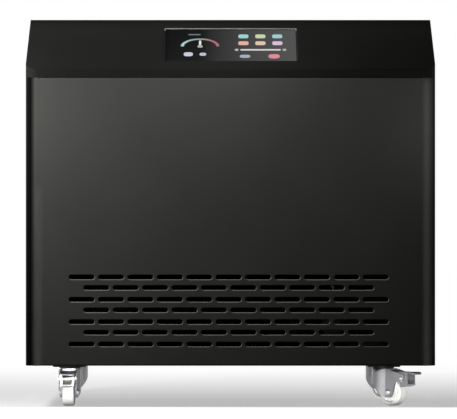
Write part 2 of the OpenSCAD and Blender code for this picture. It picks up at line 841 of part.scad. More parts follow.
module fan_shroud() {
    throat_r = fan_r + tip_gap;
    outline = box_points(
        fan_x - condenser_w / 2, fan_x + condenser_w / 2, condenser_z, condenser_z + condenser_h
    );
    inside = box_points(
        fan_x - condenser_w / 2 + shroud_t, fan_x + condenser_w / 2 - shroud_t,
        condenser_z + shroud_t, condenser_z + condenser_h - shroud_t
    );
    color("#1c1d1e") {
        difference() {
            along_y(shroud_front, shroud_y) polygon(outline);
            along_y(shroud_front - cut_over, shroud_y - shroud_t) polygon(inside);
            along_y(shroud_front, shroud_y + cut_over) translate([fan_x, fan_z]) circle(throat_r);
        }
        along_y(shroud_y - shroud_t, shroud_y + collar_l) translate([fan_x, fan_z]) difference() {
            circle(throat_r + shroud_t);
            circle(throat_r);
        }
    }
}

module motor_bracket() {
    arm_w = 18;
    ring_r = 46;
    hole_r = 14;
    reach = fan_r + tip_gap + arm_w;
    color("#3a3c3e")
    along_y(bracket_y, bracket_y + bracket_t) translate([fan_x, fan_z]) difference() {
        union() {
            circle(ring_r);
            for (a = [45 : 90 : 315]) rotate(a) translate([0, -arm_w / 2]) square([reach, arm_w]);
        }
        circle(hole_r);
    }
}

module fan_motor() {
    motor_r = 40;
    motor_l = 50;
    motor_round = 8;
    rear_round = 2;
    boss_r = 12;
    boss_l = 6;
    shaft_end = hub_y + hub_l - boss_l;
    body_end = bracket_y - seat_gap;
    profile = [[0, 0], [motor_r, 0], [motor_r, motor_l], [0, motor_l]];
    color("#6e7275")
    translate([fan_x, body_end - motor_l, fan_z]) rotate([-90, 0, 0]) {
        rotate_extrude() polygon(rounded(profile, [0, motor_round, rear_round, 0]));
        cylinder(h = motor_l + boss_l, r = boss_r);
        cylinder(h = shaft_end - body_end + motor_l, r = shaft_r);
    }
}

// Fan with cambered sheet blades
module fan() {
    pitch = 24;
    camber_r = 95;
    blade_t = 2;
    root_half = 22;
    tip_half = 36;
    tip_round = 16;
    hub_round = 5;
    hub_edge = 1;
    outline = [
        [hub_r - blade_t, -root_half], [fan_r + cut_over, -tip_half],
        [fan_r + cut_over, tip_half], [hub_r - blade_t, root_half]
    ];
    profile = [[shaft_r + run_gap, 0], [hub_r, 0], [hub_r, hub_l], [shaft_r + run_gap, hub_l]];
    color("#202123")
    translate([fan_x, hub_y, fan_z]) rotate([-90, 0, 0]) {
        rotate_extrude() polygon(rounded(profile, [0, hub_edge, hub_round, 0]));
        for (i = [0 : blade_count - 1]) rotate(360 * i / blade_count) intersection() {
            translate([0, 0, hub_l / 2]) rotate([pitch, 0, 0]) intersection() {
                translate([0, 0, -hub_l]) linear_extrude(2 * hub_l)
                    polygon(rounded(outline, [0, tip_round, tip_round, 0]));
                translate([0, 0, blade_t - camber_r]) rotate([0, 90, 0]) difference() {
                    cylinder(h = fan_r + 2 * cut_over, r = camber_r, $fn = 96);
                    translate([0, 0, -cut_over])
                        cylinder(h = fan_r + 4 * cut_over, r = camber_r - blade_t, $fn = 96);
                }
            }
            translate([0, 0, -hub_l]) cylinder(h = 3 * hub_l, r = fan_r, $fn = 96);
        }
    }
}

// Heat exchanger barrel and its ports
stand_h = 16;
stand_t = 2;
exchanger_z = pan_top + stand_h + 2 * seat_gap;
line_port_l = 14;
line_port_x = exchanger_at.x - barrel_r - line_port_l;
line_port_levels = [50, 195];
line_port_low = exchanger_z + line_port_levels[0];
line_port_high = exchanger_z + line_port_levels[1];
pump_level = 46;
pump_z = pan_top + pump_level;
water_port_level = 230;
water_port_high = exchanger_z + water_port_level;
water_port_y = exchanger_at.y + barrel_r;

module heat_exchanger() {
    cap_h = 16;
    step = 4;
    dome_r = 18;
    edge_r = 1.5;
    profile = [
        [0, 0], [barrel_r, 0], [barrel_r, cap_h], [barrel_r - step, cap_h],
        [barrel_r - step, barrel_h - cap_h], [barrel_r, barrel_h - cap_h], [barrel_r, barrel_h], [0, barrel_h]
    ];
    color("#2c2f33") {
        translate([exchanger_at.x, exchanger_at.y, exchanger_z]) rotate_extrude()
            polygon(rounded(profile, [0, edge_r, edge_r, edge_r, edge_r, edge_r, dome_r, 0]));
        for (z = [line_port_low, line_port_high])
            rod([exchanger_at.x, exchanger_at.y, z], [line_port_x, exchanger_at.y, z], socket_r);
        rod([water_port_x, exchanger_at.y, pump_z], [water_port_x, water_port_y + barb_l, pump_z], barb_r);
        rod(
            [exchanger_at.x, exchanger_at.y, water_port_high],
            [exchanger_at.x, water_port_y + barb_l, water_port_high], barb_r
        );
    }
}

// Folded stand with a ring round the barrel's foot
module exchanger_base() {
    ring_t = 3;
    ring_h = 12;
    side_in = 10;
    half = barrel_r - side_in;
    foot_w = 12;
    stand_in = 12;
    stand_d = 2 * (barrel_r - stand_in);
    bend_r = 3;
    low = pan_top + seat_gap;
    high = low + stand_h;
    inner_r = barrel_r + seat_gap;
    path = [
        [-half - foot_w, low + stand_t], [-half, low + stand_t], [-half, high],
        [half, high], [half, low + stand_t], [half + foot_w, low + stand_t]
    ];
    color("#3a3c3e")
    translate([exchanger_at.x, exchanger_at.y, 0]) {
        along_y(-stand_d / 2, stand_d / 2) polygon(folded(path, bend_r, -stand_t));
        translate([0, 0, high - stand_t]) linear_extrude(ring_h + stand_t) section(inner_r + ring_t, inner_r);
    }
}

// Circulation pump, lying along Y
pump_back = 211;
pump_y = rear_y - pump_back;
volute_l = 28;
volute_end = pump_y + pump_l + volute_l;
pump_out_y = volute_end - volute_l / 2;
pump_out_x = pump_x + volute_r;

module pump() {
    motor_round = 7;
    edge_round = 1.5;
    neck_r = 20;
    neck_l = 5;
    rib_count = 12;
    rib = [2, 1.5];
    profile = [[0, 0], [pump_r - rib.y, 0], [pump_r - rib.y, pump_l], [0, pump_l]];
    volute = [[0, 0], [volute_r, 0], [volute_r, volute_l - neck_l], [0, volute_l - neck_l]];
    color("#3c4146")
    translate([pump_x, pump_y, pump_z]) rotate([-90, 0, 0]) {
        rotate_extrude() polygon(rounded(profile, [0, motor_round, edge_round, 0]));
        for (i = [0 : rib_count - 1]) rotate(360 * (i + 1 / 2) / rib_count)
            translate([pump_r - 2 * rib.y, -rib.x / 2, motor_round]) cube([2 * rib.y, rib.x, pump_l - motor_round]);
        translate([0, 0, pump_l - tiny]) rotate_extrude() polygon(rounded(volute, [0, edge_round, motor_round, 0]));
        cylinder(h = pump_l + volute_l, r = neck_r);
        cylinder(h = pump_l + volute_l + barb_l, r = barb_r);
    }
    color("#3c4146")
    rod([pump_x, pump_out_y, pump_z], [pump_out_x + barb_l, pump_out_y, pump_z], barb_r);
}

module pump_bracket() {
    foot_out = 4;
    foot_short = 11;
    foot_w = 2 * (pump_r + foot_out);
    foot_d = pump_l - foot_short;
    web_t = 3;
    web_in = 10;
    web_w = 2 * (pump_r - web_in);
    web_h = 26;
    web_step = 44;
    base_z = pan_top + seat_gap;
    mid_y = pump_y + pump_l / 2;
    color("#3a3c3e") {
        translate([pump_x, mid_y, base_z]) rounded_plate(foot_w, foot_d, web_t, web_t);
        for (y = [-web_step / 2, web_step / 2])
            along_y(mid_y + y - web_t / 2, mid_y + y + web_t / 2) difference() {
                polygon(box_points(pump_x - web_w / 2, pump_x + web_w / 2, base_z, base_z + web_h));
                translate([pump_x, pump_z]) circle(pump_r + seat_gap);
            }
    }
}

// Refrigerant lines
line_y = condenser_y - line_off;
drier_l = 80;
drier_end = line_y;
low_z = tube_zs[tube_rows - 1];
gas_drop = 14;
accumulator_stub_z = accumulator_top + accumulator_stub_h;

module discharge_line() {
    start_z = shell_top + socket_floor + seat_gap;
    over_z = valve_over_z + 3 * line_bend;
    color("#b8713d")
    bent_bar([
        [compressor_at.x, compressor_at.y, start_z],
        [compressor_at.x, compressor_at.y, over_z],
        [valve_at.x, valve_at.y, over_z],
        [valve_at.x, valve_at.y, valve_over_z + seat_gap]
    ], line_r, line_bend);
}

module suction_line() {
    mid_z = (valve_under_z + accumulator_stub_z) / 2;
    color("#b8713d")
    bent_bar([
        [valve_at.x, valve_at.y, valve_under_z - seat_gap],
        [valve_at.x, valve_at.y, mid_z],
        [accumulator_at.x, accumulator_at.y, mid_z],
        [accumulator_at.x, accumulator_at.y, accumulator_stub_z + seat_gap]
    ], line_r, line_bend);
}

module gas_lines() {
    level = valve_under_z - gas_drop;
    left_x = valve_at.x - valve_step;
    right_x = valve_at.x + valve_step;
    color("#b8713d") {
        bent_bar([
            [left_x, valve_at.y, valve_under_z - seat_gap],
            [left_x, valve_at.y, level],
            [left_x, line_y, level],
            [line_x, line_y, level],
            [line_x, line_y, tube_zs[0]],
            [line_x, tube_y, tube_zs[0]],
            [tube_end_x + seat_gap, tube_y, tube_zs[0]]
        ], line_r, line_bend);
        bent_bar([
            [right_x, valve_at.y, valve_under_z - seat_gap],
            [right_x, valve_at.y, line_port_high],
            [line_port_x - seat_gap, exchanger_at.y, line_port_high]
        ], line_r, line_bend);
    }
}

module liquid_lines() {
    color("#b8713d") {
        bent_bar([
            [tube_end_x + seat_gap, tube_y, low_z],
            [line_x, tube_y, low_z],
            [line_x, drier_end + seat_gap, low_z]
        ], line_r, line_bend);
        bent_bar([
            [line_x, drier_end - drier_l - seat_gap, low_z],
            [line_x, exchanger_at.y, low_z],
            [line_x, exchanger_at.y, line_port_low],
            [line_port_x - seat_gap, exchanger_at.y, line_port_low]
        ], line_r, line_bend);
    }
}

module filter_drier() {
    neck_l = 12;
    shoulder = 8;
    profile = [
        [0, 0], [socket_r, 0], [socket_r, neck_l - shoulder], [drier_r, neck_l],
        [drier_r, drier_l - neck_l], [socket_r, drier_l - neck_l + shoulder], [socket_r, drier_l], [0, drier_l]
    ];
    color("#a9683a")
    translate([line_x, drier_end, low_z]) rotate([90, 0, 0]) rotate_extrude() polygon(profile);
}

// Hoses
module inlet_hose() {
    turn_y = volute_end + hose_bend + barb_l + seam_gap;
    color("#15171a")
    bent_bar([
        [pump_x, volute_end + seat_gap, pump_z],
        [pump_x, turn_y, pump_z],
        [pump_x, turn_y, inlet_at.y],
        [inlet_at.x, hose_end_y, inlet_at.y]
    ], hose_r, hose_bend, hose_r - hose_wall);
}

module pump_hose() {
    color("#15171a")
    bent_bar([
        [pump_out_x + seat_gap, pump_out_y, pump_z],
        [water_port_x, pump_out_y, pump_z],
        [water_port_x, water_port_y + seat_gap, pump_z]
    ], hose_r, hose_bend, hose_r - hose_wall);
}

module outlet_hose() {
    turn_y = water_port_y + barb_l + 2 * hose_bend;
    color("#15171a")
    bent_bar([
        [exchanger_at.x, water_port_y + seat_gap, water_port_high],
        [exchanger_at.x, turn_y, water_port_high],
        [outlet_at.x, turn_y, outlet_at.y],
        [outlet_at.x, hose_end_y, outlet_at.y]
    ], hose_r, hose_bend, hose_r - hose_wall);
}

// Water fittings through the rear panel
port_level = 108;
inlet_at = [pump_x, cabinet_z + port_level];
outlet_at = [exchanger_at.x, cabinet_z + port_level];
collar_hex_r = 20;
collar_hex_t = 8;
thread_in = 13;
nut_t = 8;
barb_in = 20;
hose_end_y = rear_y - thread_in - seat_gap;

module water_fitting() {
    lead = 1;
    color("#c9a45c")
    difference() {
        union() {
            translate([0, 0, seat_gap]) cylinder(h = collar_hex_t, r = collar_hex_r, $fn = 6);
            translate([0, 0, -thread_in]) cylinder(h = thread_in + fitting_reach - lead, r = thread_r);
            translate([0, 0, fitting_reach - lead]) cylinder(h = lead, r1 = thread_r, r2 = thread_r - lead);
            translate([0, 0, -thread_in - barb_in]) cylinder(h = barb_in + thread_in, r = barb_r);
        }
        translate([0, 0, -thread_in - barb_in - cut_over])
            cylinder(h = thread_in + barb_in + fitting_reach + 2 * cut_over, r = water_bore_r);
    }
}

module water_inlet() {
    at_port(inlet_at) water_fitting();
}

module water_outlet() {
    at_port(outlet_at) water_fitting();
}

module port_nuts() {
    color("#b89450")
    for (place = [inlet_at, outlet_at]) at_port(place)
        translate([0, 0, -sheet_t - seat_gap - nut_t]) difference() {
            cylinder(h = nut_t, r = collar_hex_r, $fn = 6);
            translate([0, 0, -cut_over]) cylinder(h = nut_t + 2 * cut_over, r = thread_r + run_gap);
        }
}

// Cable gland and power switch
control_drop = 65.1;
control_z = shelf_z - control_drop;
gland_at = [exchanger_at.x, control_z];
gland_r = 8;
gland_bore_r = 4;
switch_at = [inlet_at.x, control_z];
switch_w = 19;
switch_h = 27;
pocket_rim = 2;
rocker_axis_z = -2;
rocker_pin_r = 1.2;

module cable_gland() {
    hex_r = 12;
    hex_t = 5;
    dome_r = 10;
    dome_h = 14;
    dome_round = 4;
    inside_l = 10;
    dome = [[0, 0], [dome_r, 0], [dome_r, dome_h], [0, dome_h]];
    color("#161616")
    at_port(gland_at) difference() {
        union() {
            translate([0, 0, seat_gap]) cylinder(h = hex_t, r = hex_r, $fn = 6);
            translate([0, 0, seat_gap + hex_t - tiny]) rotate_extrude()
                polygon(rounded(dome, [0, 0, dome_round, 0]));
            translate([0, 0, -inside_l]) cylinder(h = inside_l + hex_t, r = gland_r);
            translate([0, 0, -sheet_t - seat_gap - hex_t]) cylinder(h = hex_t, r = hex_r, $fn = 6);
        }
        translate([0, 0, -inside_l - cut_over])
            cylinder(h = inside_l + hex_t + dome_h + 2 * cut_over, r = gland_bore_r);
    }
}

module switch_housing() {
    flange = 2.5;
    flange_t = 2;
    body_d = 20;
    pocket_d = 9;
    color("#151515")
    at_port(switch_at) difference() {
        union() {
            translate([0, 0, seat_gap]) rounded_plate(switch_w + 2 * flange, switch_h + 2 * flange, flange_t, flange);
            translate([0, 0, -body_d]) linear_extrude(body_d + flange_t) square([switch_w, switch_h], center = true);
        }
        translate([0, 0, -pocket_d]) linear_extrude(pocket_d + flange_t + cut_over)
            square([switch_w - 2 * pocket_rim, switch_h - 2 * pocket_rim], center = true);
        rod(
            [-switch_w / 2 + pocket_rim / 4, 0, rocker_axis_z], [switch_w / 2 - pocket_rim / 4, 0, rocker_axis_z],
            rocker_pin_r + run_gap
        );
    }
}

module power_rocker() {
    end_gap = 0.9;
    half_l = switch_h / 2 - pocket_rim - end_gap;
    cap_w = switch_w - 2 * pocket_rim - 2 * seam_gap;
    rest_tilt = 7;
    rise = 3.4;
    dip = 1.4;
    side_z = -0.5;
    foot_half = 4;
    foot_z = -6;
    outline = [
        [-half_l, side_z], [-foot_half, foot_z], [foot_half, foot_z], [half_l, side_z],
        [half_l, rise], [0, dip], [-half_l, rise]
    ];
    color("#2a0f10")
    at_port(switch_at) translate([0, 0, rocker_axis_z]) rotate([rest_tilt, 0, 0]) translate([0, 0, -rocker_axis_z]) {
        along_x(cap_w) polygon(outline);
        rod(
            [-switch_w / 2 + pocket_rim / 2, 0, rocker_axis_z], [switch_w / 2 - pocket_rim / 2, 0, rocker_axis_z],
            rocker_pin_r
        );
    }
}

// Caster pieces, with the trail along +X from the swivel axis
bolt_r = 3;
axle_r = 3;
axle_z = wheel_r;
pedal_pin_r = 1.5;
king_r = 4;
race_r = 14.5;
race_wall = 2;
inner_half = wheel_w / 2 + leg_gap;
leg_half = inner_half + fork_t;
eye_r = 7;
eye_round = 6.5;
ear_r = 4.6;
ear_round = 4.2;
crown_end = 14;
brow_drop = 14;
brow_z = crown_z - brow_drop;
axle_head = [4.4, 2.2];
flat_u = trail - axle_head.x;

// Corners of the pedal's shoe from its pin
shoe_offs = [[-1, -4], [-5.8, -13.1], [9, -9.7]];

// Plan of the fork: round head, tangent flanks and parallel legs
function teardrop(r, w, u0, u1) =
    let (a = atan2(w, u0) + acos(r / norm([u0, w])), n = 3 * big_arc_n)
    concat(
        [for (i = [0 : n]) let (b = a + (360 - 2 * a) * i / n) r * [cos(b), sin(b)]],
        [[u0, -w], [u1, -w], [u1, w], [u0, w]]
    );

module fork(brake) {
    lead = crown_r + cut_over;
    tail = pedal_pin_u + ear_r + cut_over;
    crown_round = 5;
    knee_r = 6;
    leg_back = trail + eye_r;
    low_z = axle_z - eye_r;
    eye = [[leg_back, low_z], [trail - eye_r, low_z], [-lead, brow_z], [-lead, crown_z], [crown_end, crown_z]];
    arm = [
        [pedal_pin_u + ear_r, pedal_pin_z + ear_r], [pedal_pin_u + ear_r, pedal_pin_z - ear_r],
        [leg_back + knee_r, pedal_pin_z - ear_r]
    ];
    side = brake
        ? rounded(concat(eye, arm), [eye_round, eye_round, 0, 0, knee_r, ear_round, ear_round, knee_r])
        : rounded(concat(eye, [[leg_back + fork_t, brow_z]]), [eye_round, eye_round, 0, 0, knee_r, knee_r]);
    shoulders = [for (half = [crown_r, crown_r - fork_t])
        let (over = half == crown_r ? 0 : fork_t)
        rounded(
            box_points(-half, half, -cut_over, crown_z - over),
            [0, 0, crown_round - over, crown_round - over]
        )
    ];
    color("#a7a9ab")
    difference() {
        intersection() {
            along_y(-crown_r, crown_r) polygon(side);
            linear_extrude(crown_z) polygon(teardrop(crown_r, leg_half, flat_u, tail));
            along_x(2 * tail) polygon(shoulders[0]);
        }
        intersection() {
            translate([0, 0, -cut_over]) linear_extrude(crown_z + cut_over - fork_t)
                polygon(teardrop(crown_r - fork_t, inner_half, flat_u, tail + cut_over));
            along_x(2 * tail + 2 * cut_over) polygon(shoulders[1]);
        }
        translate([crown_end + fork_t, -inner_half, 0]) cube([tail, 2 * inner_half, crown_z + cut_over]);
        translate([0, 0, crown_z - fork_t - cut_over]) cylinder(h = fork_t + 2 * cut_over, r = king_r + run_gap);
        rod([trail, -crown_r, axle_z], [trail, crown_r, axle_z], axle_r + run_gap);
        if (brake) rod([pedal_pin_u, -crown_r, pedal_pin_z], [pedal_pin_u, crown_r, pedal_pin_z], pedal_pin_r + run_gap);
    }
}

module wheel() {
    b = wheel_w / 2;
    bore = axle_r + run_gap;
    wheel_hub_r = 7.5;
    rim_t = 5;
    rim = wheel_r - rim_t;
    web = 3.4;
    edge = 0.8;
    tread_r = 3;
    pts = [
        [bore, -b], [wheel_hub_r, -b], [wheel_hub_r + edge, -web], [rim - edge, -web], [rim, -b], [wheel_r, -b],
        [wheel_r, b], [rim, b], [rim - edge, web], [wheel_hub_r + edge, web], [wheel_hub_r, b], [bore, b]
    ];
    color("#ecebe6")
    translate([trail, 0, axle_z]) rotate([90, 0, 0]) rotate_extrude()
        polygon(rounded(pts, [0, edge, edge, edge, edge, tread_r, tread_r, edge, edge, edge, edge, 0]));
}

// Riveted pin across the legs with a domed head on each side
module cross_pin(u, z, r, head_r, head_h) {
    profile = [[0, 0], [head_r, 0], [head_r, head_h], [0, head_h]];
    rod([u, -leg_half - seat_gap, z], [u, leg_half + seat_gap, z], r);
    for (side = [-1, 1]) translate([u, side * (leg_half + seat_gap), z]) rotate([-side * 90, 0, 0])
        rotate_extrude() polygon(rounded(profile, [0, 0, head_h - tiny, 0]));
}

module pins(brake) {
    pedal_head = [2.8, 1.2];
    king_head = [7, 2.2];
    king_flange_gap = 3;
    king_flange_r = race_r - race_wall - king_flange_gap;
    king_low = crown_z - fork_t - seat_gap - king_head.y;
    color("#c4c6c8") {
        cross_pin(trail, axle_z, axle_r, axle_head.x, axle_head.y);
        if (brake) cross_pin(pedal_pin_u, pedal_pin_z, pedal_pin_r, pedal_head.x, pedal_head.y);
        translate([0, 0, king_low]) cylinder(h = king_head.y, r = king_head.x);
        translate([0, 0, king_low]) cylinder(h = race_z + king_head.y - king_low, r = king_r);
        translate([0, 0, race_z]) cylinder(h = king_head.y, r = king_flange_r);
    }
}

// Brake pedal: upper wing, cheeks on the pin and a bent shoe behind the wheel
module pedal() {
    pin_at = [pedal_pin_u, pedal_pin_z];
    side_gap = 0.5;
    half = inner_half - side_gap;
    wing_over = 1.1;
    wing_half = half + wing_over;
    wing_t = 1.8;
    wing_back = 16.5;
    wing_up = 8.7;
    wing_in = pedal_pin_u - wing_back;
    wing_z = pedal_pin_z + wing_up;
    wing_curl = 4;
    cheek_t = 1.6;
    cheek_z = wing_z - wing_t / 2;
    shoe_top = pin_at + shoe_offs[0];
    shoe_low = pin_at + shoe_offs[1];
    shoe_foot = pin_at + shoe_offs[2];
    shoe_bend = 2.4;
    tip_r = 4;
    wing = [[wing_in, wing_z], [pedal_reach - wing_curl, wing_z], [pedal_reach, wing_z - wing_curl / 2]];
    shoe = [shoe_top, shoe_low, shoe_foot];
    cheek = [
        [wing_in + wing_t, cheek_z], shoe_top, shoe_low + [wing_t, wing_t / 2],
        shoe_foot, [pedal_reach - 3 * wing_curl, cheek_z]
    ];
    plan = [
        [wing_in, -half], [pedal_pin_u + ear_r + wing_t, -half], [pedal_pin_u + ear_r + 2 * wing_t, -wing_half],
        [pedal_reach, -wing_half], [pedal_reach, wing_half],
        [pedal_pin_u + ear_r + 2 * wing_t, wing_half], [pedal_pin_u + ear_r + wing_t, half], [wing_in, half]
    ];
    color("#b6b8ba")
    difference() {
        union() {
            intersection() {
                along_y(-wing_half, wing_half) polygon(folded(wing, wing_curl, -wing_t));
                linear_extrude(wing_z + cut_over) polygon(rounded(plan, [0, 0, 0, tip_r, tip_r, 0, 0, 0]));
            }
            along_y(-half, half) polygon(folded(shoe, shoe_bend, wing_t));
            for (side = [-1, 1]) translate([0, side * (half - cheek_t / 2), 0])
                along_y(-cheek_t / 2, cheek_t / 2) polygon(cheek);
        }
        rod([pedal_pin_u, -crown_r, pedal_pin_z], [pedal_pin_u, crown_r, pedal_pin_z], pedal_pin_r + run_gap);
    }
}

module caster_plates() {
    plate_round = 5;
    color("#b0b2b4")
    difference() {
        for (place = casters) translate([place.x, place.y, race_z]) difference() {
            union() {
                translate([0, 0, race_h]) rounded_plate(caster_plate_w, caster_plate_w, caster_plate_t, plate_round);
                cylinder(h = race_h + tiny, r = race_r);
            }
            translate([0, 0, -cut_over]) cylinder(h = race_h + cut_over, r = race_r - race_wall);
        }
        at_caster_bolts() translate([0, 0, race_z]) cylinder(h = race_h + 2 * caster_plate_t, r = bolt_r + run_gap);
    }
}

module caster_bolts() {
    head_r = 5.5;
    head_h = 2.4;
    nut_h = 5;
    low_z = caster_plate_z - seat_gap - head_h;
    color("#c4c6c8")
    at_caster_bolts() {
        translate([0, 0, low_z]) cylinder(h = head_h, r = head_r);
        translate([0, 0, low_z]) cylinder(h = pan_top + seat_gap + nut_h + bolt_r - low_z, r = bolt_r);
        translate([0, 0, pan_top + seat_gap]) cylinder(h = nut_h, r = head_r, $fn = 6);
    }
}

module front_left_fork() { at_caster(front_left) fork(true); }
module front_left_wheel() { at_caster(front_left) wheel(); }
module front_left_pins() { at_caster(front_left) pins(true); }
module front_left_pedal() { at_caster(front_left) pedal(); }
module front_right_fork() { at_caster(front_right) fork(true); }
module front_right_wheel() { at_caster(front_right) wheel(); }
module front_right_pins() { at_caster(front_right) pins(true); }
module front_right_pedal() { at_caster(front_right) pedal(); }
module rear_left_fork() { at_caster(rear_left) fork(false); }
module rear_left_wheel() { at_caster(rear_left) wheel(); }
module rear_left_pins() { at_caster(rear_left) pins(false); }
module rear_right_fork() { at_caster(rear_right) fork(false); }
module rear_right_wheel() { at_caster(rear_right) wheel(); }
module rear_right_pins() { at_caster(rear_right) pins(false); }

base_pan();
front_panel();
left_side_panel();
right_side_panel();
rear_panel();
hood();
corner_posts();
inner_shelf();
panel_screws();
display_bezel();
display_glass();
display_module();
display_board();
control_box();
compressor();
compressor_grommets();
suction_accumulator();
reversing_valve();
filter_drier();
condenser_fins();
condenser_tube();
fan_shroud();
motor_bracket();
fan_motor();
fan();
heat_exchanger();
exchanger_base();
pump();
pump_bracket();
discharge_line();
suction_line();
gas_lines();
liquid_lines();
inlet_hose();
pump_hose();
outlet_hose();
water_inlet();
water_outlet();
port_nuts();
cable_gland();
switch_housing();
power_rocker();
caster_plates();
caster_bolts();
front_left_fork();
front_left_wheel();
front_left_pins();
front_left_pedal();
front_right_fork();
front_right_wheel();
front_right_pins();
front_right_pedal();
rear_left_fork();
rear_left_wheel();
rear_left_pins();
rear_right_fork();
rear_right_wheel();
rear_right_pins();
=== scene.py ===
import math

import bpy
from mathutils import Matrix, Vector


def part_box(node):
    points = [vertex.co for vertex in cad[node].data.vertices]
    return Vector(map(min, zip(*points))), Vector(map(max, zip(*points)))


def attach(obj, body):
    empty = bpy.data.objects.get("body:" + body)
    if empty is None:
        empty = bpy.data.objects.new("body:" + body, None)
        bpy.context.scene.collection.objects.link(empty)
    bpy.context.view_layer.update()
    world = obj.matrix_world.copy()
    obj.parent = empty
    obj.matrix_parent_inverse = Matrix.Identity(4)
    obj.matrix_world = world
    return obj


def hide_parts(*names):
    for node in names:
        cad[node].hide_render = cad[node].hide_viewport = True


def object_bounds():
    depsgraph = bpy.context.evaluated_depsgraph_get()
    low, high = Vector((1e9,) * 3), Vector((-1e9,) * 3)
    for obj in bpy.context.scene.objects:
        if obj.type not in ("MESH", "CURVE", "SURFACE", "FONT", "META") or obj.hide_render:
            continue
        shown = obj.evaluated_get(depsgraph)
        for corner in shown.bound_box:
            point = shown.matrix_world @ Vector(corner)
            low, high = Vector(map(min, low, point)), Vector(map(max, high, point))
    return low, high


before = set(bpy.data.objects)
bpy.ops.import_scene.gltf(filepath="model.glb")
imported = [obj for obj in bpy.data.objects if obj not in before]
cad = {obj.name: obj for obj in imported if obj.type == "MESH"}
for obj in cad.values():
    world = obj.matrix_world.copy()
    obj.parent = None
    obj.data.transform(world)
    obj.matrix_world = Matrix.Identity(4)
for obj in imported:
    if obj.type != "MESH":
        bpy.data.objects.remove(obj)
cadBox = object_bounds()
print("frame loaded:", len(cad), "nodes")

# camera: level, half-way up the object, far off with a long lens
shot = {
    "distance": 5.4,      # from the front face, m
    "height": 0.270,
    "sideways": -0.0027,
    "frontFace": -0.219,
    "lens": 312.0,        # mm
    "sensor": 36.0,
    "clip": 60.0,
}


def addCamera():
    cam = bpy.data.cameras.new("camera")
    cam.lens = shot["lens"]
    cam.sensor_width = shot["sensor"]
    cam.clip_end = shot["clip"]
    obj = bpy.data.objects.new("camera", cam)
    bpy.context.collection.objects.link(obj)
    obj.location = (shot["sideways"], shot["frontFace"] - shot["distance"], shot["height"])
    obj.rotation_euler = (math.radians(90), 0, 0)
    bpy.context.scene.camera = obj


addCamera()

# light: a key lamp on the left, a softer one over the deck, a weak fill from the right,
# narrow beams on the casters and along both ends of the panel, and one even panel of light
# for each face that the shot doesn't show; metres, watts, and the beam's width in degrees
lamps = {
    "key": {"at": (-0.5, -0.36, 0.5), "to": (-0.25, -0.219, 0.25),
            "size": (0.12, 0.12), "watts": 4.53},
    "top": {"at": (0.0, -0.42, 0.58), "to": (-0.1, -0.219, 0.45),
            "size": (0.1, 0.1), "watts": 0.98},
    "fill": {"at": (0.36, -0.32, 0.4), "to": (-0.1, -0.219, 0.45),
             "size": (0.1, 0.1), "watts": 0.22},
    "low": {"at": (-0.1, -0.85, 0.0265), "to": (-0.02, -0.15, 0.0265),
            "size": (0.62, 0.045), "watts": 0.125, "beam": 1.4},
    "lowBack": {"at": (0.0, 0.8, 0.025), "to": (0.0, 0.0, 0.025),
                "size": (0.56, 0.043), "watts": 0.09, "beam": 1.0},
    "ridge": {"at": (-0.264, -0.9, 0.175), "to": (-0.264, 0.0, 0.175),
              "size": (0.012, 0.25), "watts": 0.0042, "beam": 0.8},
    "edge": {"at": (0.2693, -0.9, 0.25), "to": (0.2693, 0.0, 0.25),
             "size": (0.011, 0.39), "watts": 0.0082, "beam": 0.8},
    "leftFace": {"at": (-0.9, 0.02, 0.3), "to": (0.0, 0.02, 0.3),
                 "size": (0.38, 0.47), "watts": 0.42, "beam": 1.5},
    "rightFace": {"at": (0.9, 0.0, 0.3), "to": (0.0, 0.0, 0.3),
                  "size": (0.42, 0.47), "watts": 0.46, "beam": 1.5},
    "backFace": {"at": (0.3, 0.9, 0.3), "to": (0.0, 0.18, 0.3),
                 "size": (0.56, 0.47), "watts": 0.6, "beam": 1.5},
    "roof": {"at": (0.0, 0.07, 1.1), "to": (0.0, 0.07, 0.0),
             "size": (0.56, 0.21), "watts": 0.3, "beam": 1.5},
}


def addLamp(name, lamp):
    data = bpy.data.lights.new(name, "AREA")
    data.shape = "RECTANGLE"
    data.size, data.size_y = lamp["size"]
    data.energy = lamp["watts"]
    if "beam" in lamp:
        data.spread = math.radians(lamp["beam"])
    obj = bpy.data.objects.new(name, data)
    bpy.context.collection.objects.link(obj)
    obj.location = lamp["at"]
    way = Vector(lamp["to"]) - Vector(lamp["at"])
    obj.rotation_euler = way.to_track_quat("-Z", "Y").to_euler()


for lampName, lamp in lamps.items():
    addLamp(lampName, lamp)


# nodes that the world, the floor and the finishes share
def rampOn(tree, value, stops):
    ramp = tree.nodes.new("ShaderNodeValToRGB")
    tree.links.new(value, ramp.inputs[0])
    points = ramp.color_ramp.elements
    points[0].position, points[1].position = stops[0][0], stops[-1][0]
    points[0].color, points[1].color = (*stops[0][1], 1), (*stops[-1][1], 1)
    for at, tone in stops[1:-1]:
        points.new(at).color = (*tone, 1)
    return ramp.outputs[0]


# value that runs from 0 to 1 along one axis of the object, between two places in metres
def alongAxis(tree, coord, axis, start, end):
    split = tree.nodes.new("ShaderNodeSeparateXYZ")
    tree.links.new(coord, split.inputs[0])
    span = tree.nodes.new("ShaderNodeMapRange")
    span.inputs["From Min"].default_value = start
    span.inputs["From Max"].default_value = end
    tree.links.new(split.outputs[axis], span.inputs["Value"])
    return span.outputs[0]


